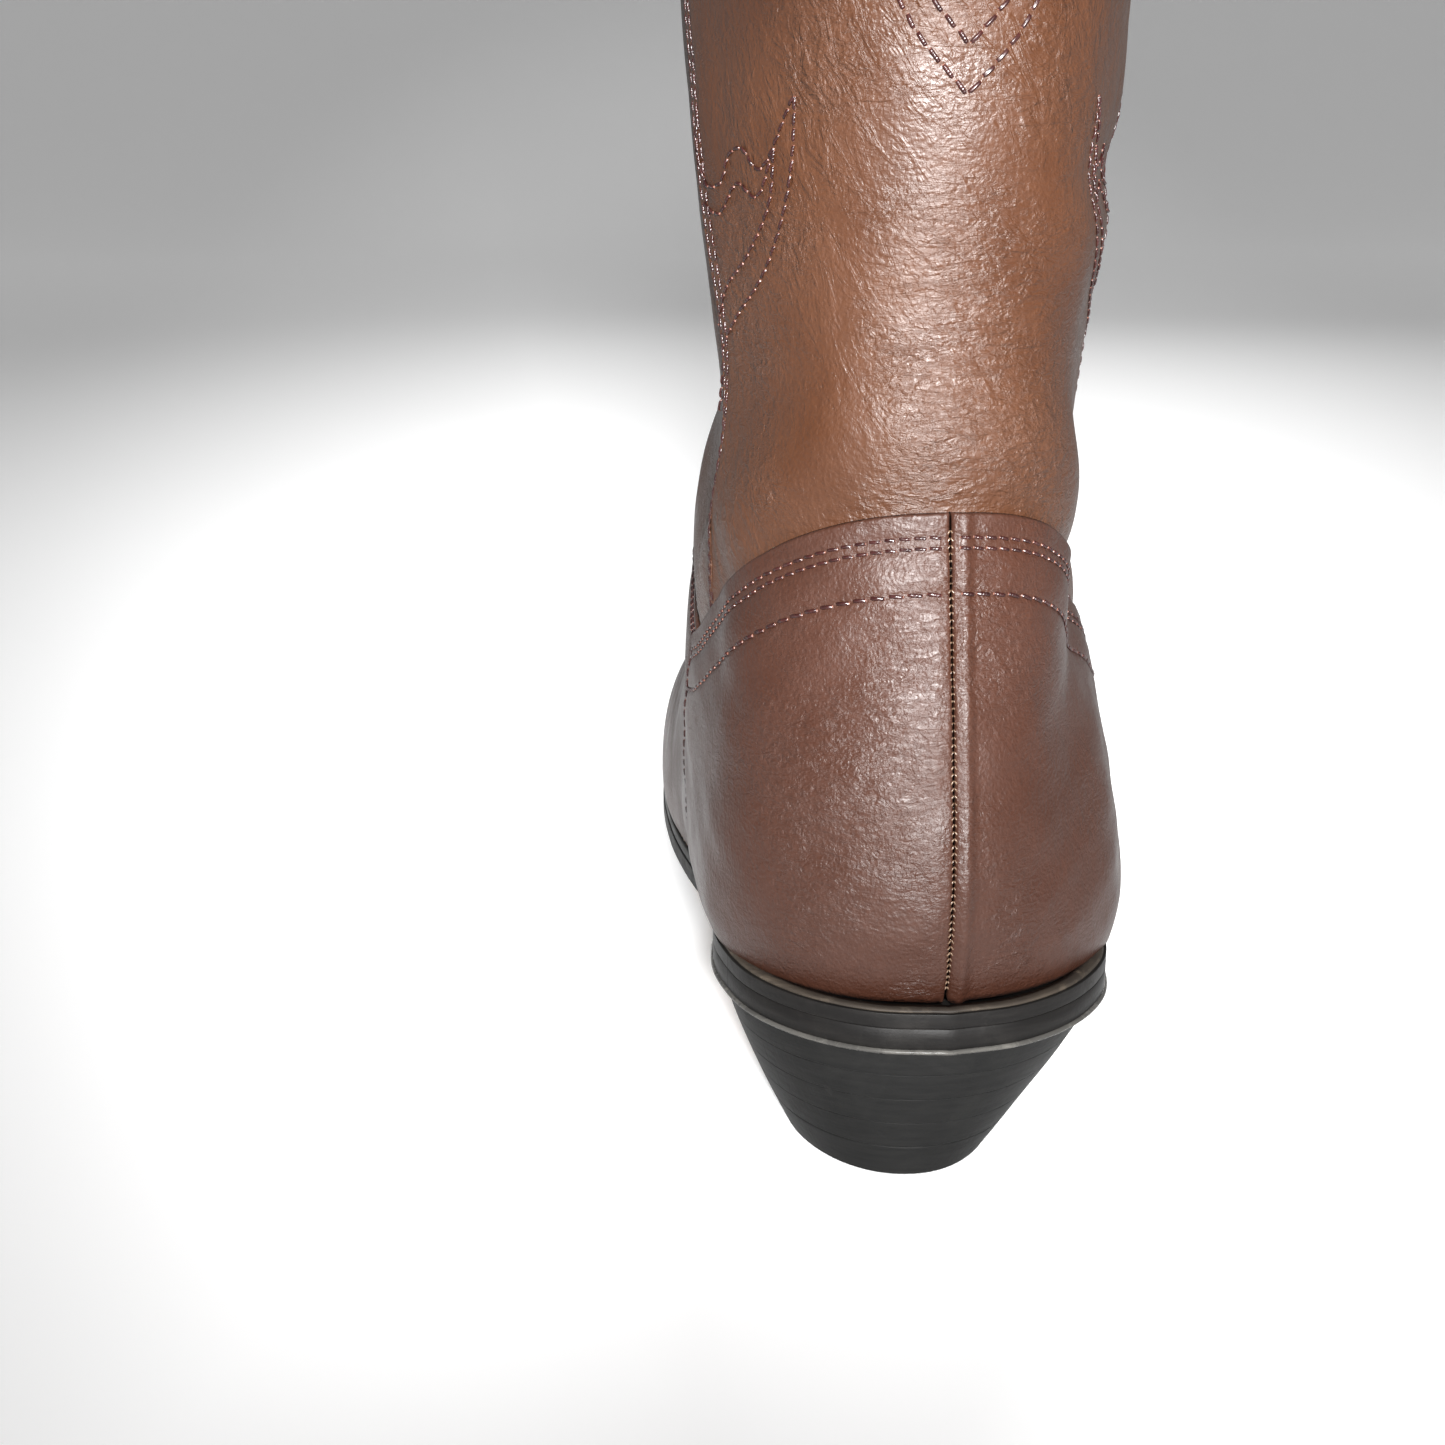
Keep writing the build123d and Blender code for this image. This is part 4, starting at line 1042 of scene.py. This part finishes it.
def welts():
    """The welt round the forefoot and the rand round the heel seat, with a worn lip and its stitches."""
    forefoot = band("welt_strip", rounded_bar(-8.5, -0.15, -WELT_T, 0.0, 0.55), EDGE_BLACK,
                    lambda reach: reach > 60.1, slot="sole_edge")
    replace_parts(forefoot, "welt")
    rand = band("heel_rand_strip", rounded_bar(-8.5, 0.06, -WELT_T, 0.0, 0.12), EDGE_BLACK,
                lambda reach: reach <= 60.0, slot="sole_edge")
    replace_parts(rand, "heel_rand")
    lip = [(-3.2, -0.1), (-0.9, -0.1), (-0.4, 0.1), (-0.45, 0.4), (-0.9, 0.6), (-1.8, 0.5), (-3.2, 0.3)]
    band("rand_lip", lip, LIP_WORN, lambda reach: reach <= 75.0, slot="sole_edge")
    # the bead below the rand gets a pale grey finish that paints a highlight along it
    bead = [(-0.8, -0.4), (0.15, -0.4), (0.45, -0.15), (0.45, 0.15), (0.15, 0.4), (-0.8, 0.4)]
    low = -WELT_T - OUTSOLE_T + 0.35
    band("sole_bead", [(out, up + low) for out, up in bead], BEAD_PAINTED_HIGHLIGHT, lambda reach: reach <= 57.0,
         slot="sole_edge")
    loop, n = stretch(lambda reach: reach > 110)
    path = round_edge(loop, n, -1.1, 0.02)
    up = np.tile([0.0, 0.0, 1.0], (len(path), 1))
    stitch_row("welt_stitches", path, up, "sole_edge", length=2.7, pitch=3.4, radius=0.36,
               colours=TAN_THREADS)


# ---------------------------------------------------------------- binding and pull straps
def top_binding():
    """A strip folded over the topline."""
    turns = np.linspace(0, 1, 421)[:-1]
    profile = [(7.0, 1.45), (6.6, 0.75), (5.8, 0.60), (3.0, 0.55), (0.9, 0.60), (-0.35, 0.95), (-1.0, 2.0),
               (-1.0, 3.7), (-0.3, 4.8), (0.9, 5.15), (3.0, 5.2), (6.2, 5.2), (7.0, 4.5)]
    rows = []
    for down, depth in profile:
        swell = slouch(skin(turns, topline(turns) + down)) * (1 if depth < 3 else 0.6)
        rows.append(skin(turns, topline(turns) + down, depth - swell))
    p = np.stack(rows, axis=1)
    faces = grid_faces(*p.shape[:2], wrap_rows=True, wrap_columns=True)
    piece = make_mesh("topline_binding", p.reshape(-1, 3), faces, TRIM_LEATHER, slot="binding_leather")
    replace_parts(piece, "top_binding")
    turns = np.linspace(0, 1, 420)
    runs = topline(turns) + 5.4
    stitch_row("binding_row", skin(turns, runs, 0.58 - slouch(skin(turns, runs))), outward(turns, runs),
               slot="binding_leather")


def strap_line(sign, reach):
    """The middle line of a pull strap at one reach: up the outside, over the loop and down the inside."""
    bottom = SHAFT_TOP - STRAP_DOWN
    heights = np.linspace(bottom, SHAFT_TOP, 9)
    runs = BODY_TOP - heights
    at = np.linspace(0.08 * sign, 0.45 * sign, 400)
    p = skin(at[None, :], runs[:, None])
    turns = filled(first_crossing(p[..., 1] - reach, at))
    swell = slouch(skin(turns, runs))
    legs = [np.abs(skin(turns, runs, depth - swell)[:, 0]) for depth in (-0.40, 6.15)]
    leg = np.concatenate([[bottom, bottom + 0.15, bottom + 0.5],
                          np.linspace(bottom + 1.5, SHAFT_TOP + 1.5, 44)])
    base, top = LOOP_BASE, LOOP_BASE + LOOP_HEIGHT
    arch = [(3.4, base), (4.4, base + 8), (4.5, base + 16), (3.1, top - 2.3), (0, top), (-3.1, top - 2.3),
            (-4.5, base + 16), (-4.4, base + 8), (-3.4, base)]
    over = evenly(dense(arch, 200), 60) + np.array([LOOP_X, 0])
    up, down = (np.column_stack([np.interp(leg, heights, x), leg]) for x in legs)
    line = np.concatenate([up[:-1], over[2:-2], down[::-1][1:]])
    for _ in range(6):
        line[45:-45, 0] = line[45:-45, 0] * 0.5 + 0.25 * (line[44:-46, 0] + line[46:-44, 0])
    return np.column_stack([sign * line[:, 0], np.full(len(line), reach), line[:, 1]])


def pull_strap(side, sign):
    """One bent strip: a sewn leg outside, the free loop and a sewn leg inside."""
    across = spaced(STRAP_WIDTH, 1.2, ((0, 0.6, 0.15),), ((0, 0.6, 0.15),)) * STRAP_WIDTH
    p = np.stack([strap_line(sign, SIDE_REACH - STRAP_WIDTH / 2 + d) for d in across])
    n = grid_normals(p)
    n = n * np.sign((n[:, 20, 0] * sign).sum())
    edge = np.minimum(across, STRAP_WIDTH - across)[:, None]
    half = (0.9 - edge_drop(edge, 0.5) * 0.8)[..., None]
    outer = p + n * half
    name = f"pull_strap_{side}"
    piece = sheet(f"{name}_strip", outer, p - n * half, TRIM_LEATHER, body=None, slot="binding_leather")
    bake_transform(piece)
    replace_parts(piece, f"{name}_outer", f"{name}_inner", f"{name}_loop")
    for k, inset in enumerate((2.0, STRAP_WIDTH - 2.0)):
        column = int(np.argmin(np.abs(across - inset)))
        stitch_row(f"{name}_row_{k + 1}", outer[column, 3:44], n[column, 3:44], slot="binding_leather")
    stitch_row(f"{name}_row_3", outer[3:-3, 4], n[3:-3, 4], slot="binding_leather")


# ---------------------------------------------------------------- build
for side, sign in (("medial", 1), ("lateral", -1)):
    counter(side, sign)
back_seam()
vamp()
shaft_back = shaft("shaft_back", seam_line[1], lambda run: 1 + seam_line[-1](run), back_foot)
shaft_front = shaft("shaft_front", seam_line[-1], seam_line[1], front_foot)
seam_rows(shaft_back)
motifs(shaft_back, shaft_front)
outsole()
welts()
heel()
top_binding()
for side, sign in (("medial", 1), ("lateral", -1)):
    pull_strap(side, sign)

# CAD nodes shown as they are
KEPT = {
    "lining_shaft_front": LINING, "lining_shaft_back": LINING, "lining_vamp": LINING,
    "lining_heel": LINING, "heel_stiffener": BOARD, "toe_puff": BOARD, "vamp_doubler": COTTON,
    "insole": SOLE_TAN, "sock_liner": SOCK, "shank": STEEL, "cork_filler": CORK, "seat_filler": CORK,
    "heel_nails": STEEL, "heel_cap_nails": STEEL, "shank_pegs": PEG_WOOD,
}
for node, material in KEPT.items():
    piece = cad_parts[node]
    piece.data.materials.clear()
    piece.data.materials.append(material)


# ---------------------------------------------------------------- camera, light and floor
CAMERA_X, CAMERA_BACK, CAMERA_Z = 0.0726, 0.323, 0.1743      # metres, back from the heel
CAMERA_DOWN, CAMERA_YAW, CAMERA_ROLL = 15.95, 6.3, 0.05      # degrees; yaw turns it towards the boot
CAMERA_LENS = 54.8
WORLD_LIGHT, FLOOR_GLOW = 0.06, 0.24


def camera():
    """A close camera behind the boot, a little above the shaft's middle, looking down."""
    data = bpy.data.cameras.new("camera")
    data.sensor_width = 36.0
    data.lens = CAMERA_LENS
    data.clip_start = 0.01
    piece = add_object("camera", data)
    piece.location = (CAMERA_X, HEEL_Y + CAMERA_BACK, CAMERA_Z)
    piece.rotation_euler = Euler([math.radians(a) for a in (90 - CAMERA_DOWN, CAMERA_ROLL, 180 - CAMERA_YAW)])
    bpy.context.scene.camera = piece


def area_light(name, location, target, size, power, spread=180):
    """A soft square light aimed at a point; a smaller spread keeps its beam off the floor."""
    data = bpy.data.lights.new(name, "AREA")
    data.size = size
    data.energy = power
    data.spread = math.radians(spread)
    piece = add_object(name, data)
    piece.location = location
    piece.rotation_euler = (Vector(location) - Vector(target)).to_track_quat("Z", "Y").to_euler()


def studio():
    """A pale floor and soft light, strongest from just beside the camera."""
    world = bpy.data.worlds.new("studio")
    world.use_nodes = True
    fill(world.node_tree, world.node_tree.nodes["Background"], {0: (1, 1, 1, 1), 1: WORLD_LIGHT})
    bpy.context.scene.world = world
    line = [(4.0, 0.0), (-2.0, 0.0)]
    line += [(-2.0 - math.sin(a), 1 - math.cos(a)) for a in np.linspace(0, math.pi / 2, 13)[1:]]
    line += [(-3.0, 4.0)]
    corners = [(x, y, z) for y, z in line for x in (-5.0, 5.0)]
    strips = [(2 * i, 2 * i + 2, 2 * i + 3, 2 * i + 1) for i in range(len(line) - 1)]
    mesh = bpy.data.meshes.new("floor")
    mesh.from_pydata(corners, [], strips)
    mesh.polygons.foreach_set("use_smooth", [True] * len(strips))
    floor = add_object("floor", mesh)
    material, tree, shader = new_material("floor_white")
    tone = blend_colour(tree, noise(tree, place_texture(tree), 3.0), (0.86, 0.86, 0.86), (0.90, 0.90, 0.90))
    fill(tree, shader, {"Base Color": tone, "Roughness": 0.9, "Emission Color": (1, 1, 1, 1),
                        "Emission Strength": FLOOR_GLOW})
    mesh.materials.append(material)
    target = (0, HEEL_Y - 0.03, 0.12)
    area_light("key", (0.09, HEEL_Y + 0.85, 0.36), (0, HEEL_Y - 0.03, 0.15), 0.10, 1.4, 26)
    area_light("top", (0.0, HEEL_Y - 0.3, 1.3), target, 1.2, 1.0)
    area_light("front", (-0.5, HEEL_Y - 1.9, 1.0), target, 0.8, 4.5, 50)
    for name, x in (("left", 1.2), ("right", -1.2)):
        area_light(name, (x, HEEL_Y - 0.6, 0.5), target, 0.8, 0.08, 60)
    bpy.context.scene.view_settings.view_transform = "Standard"


camera()
studio()
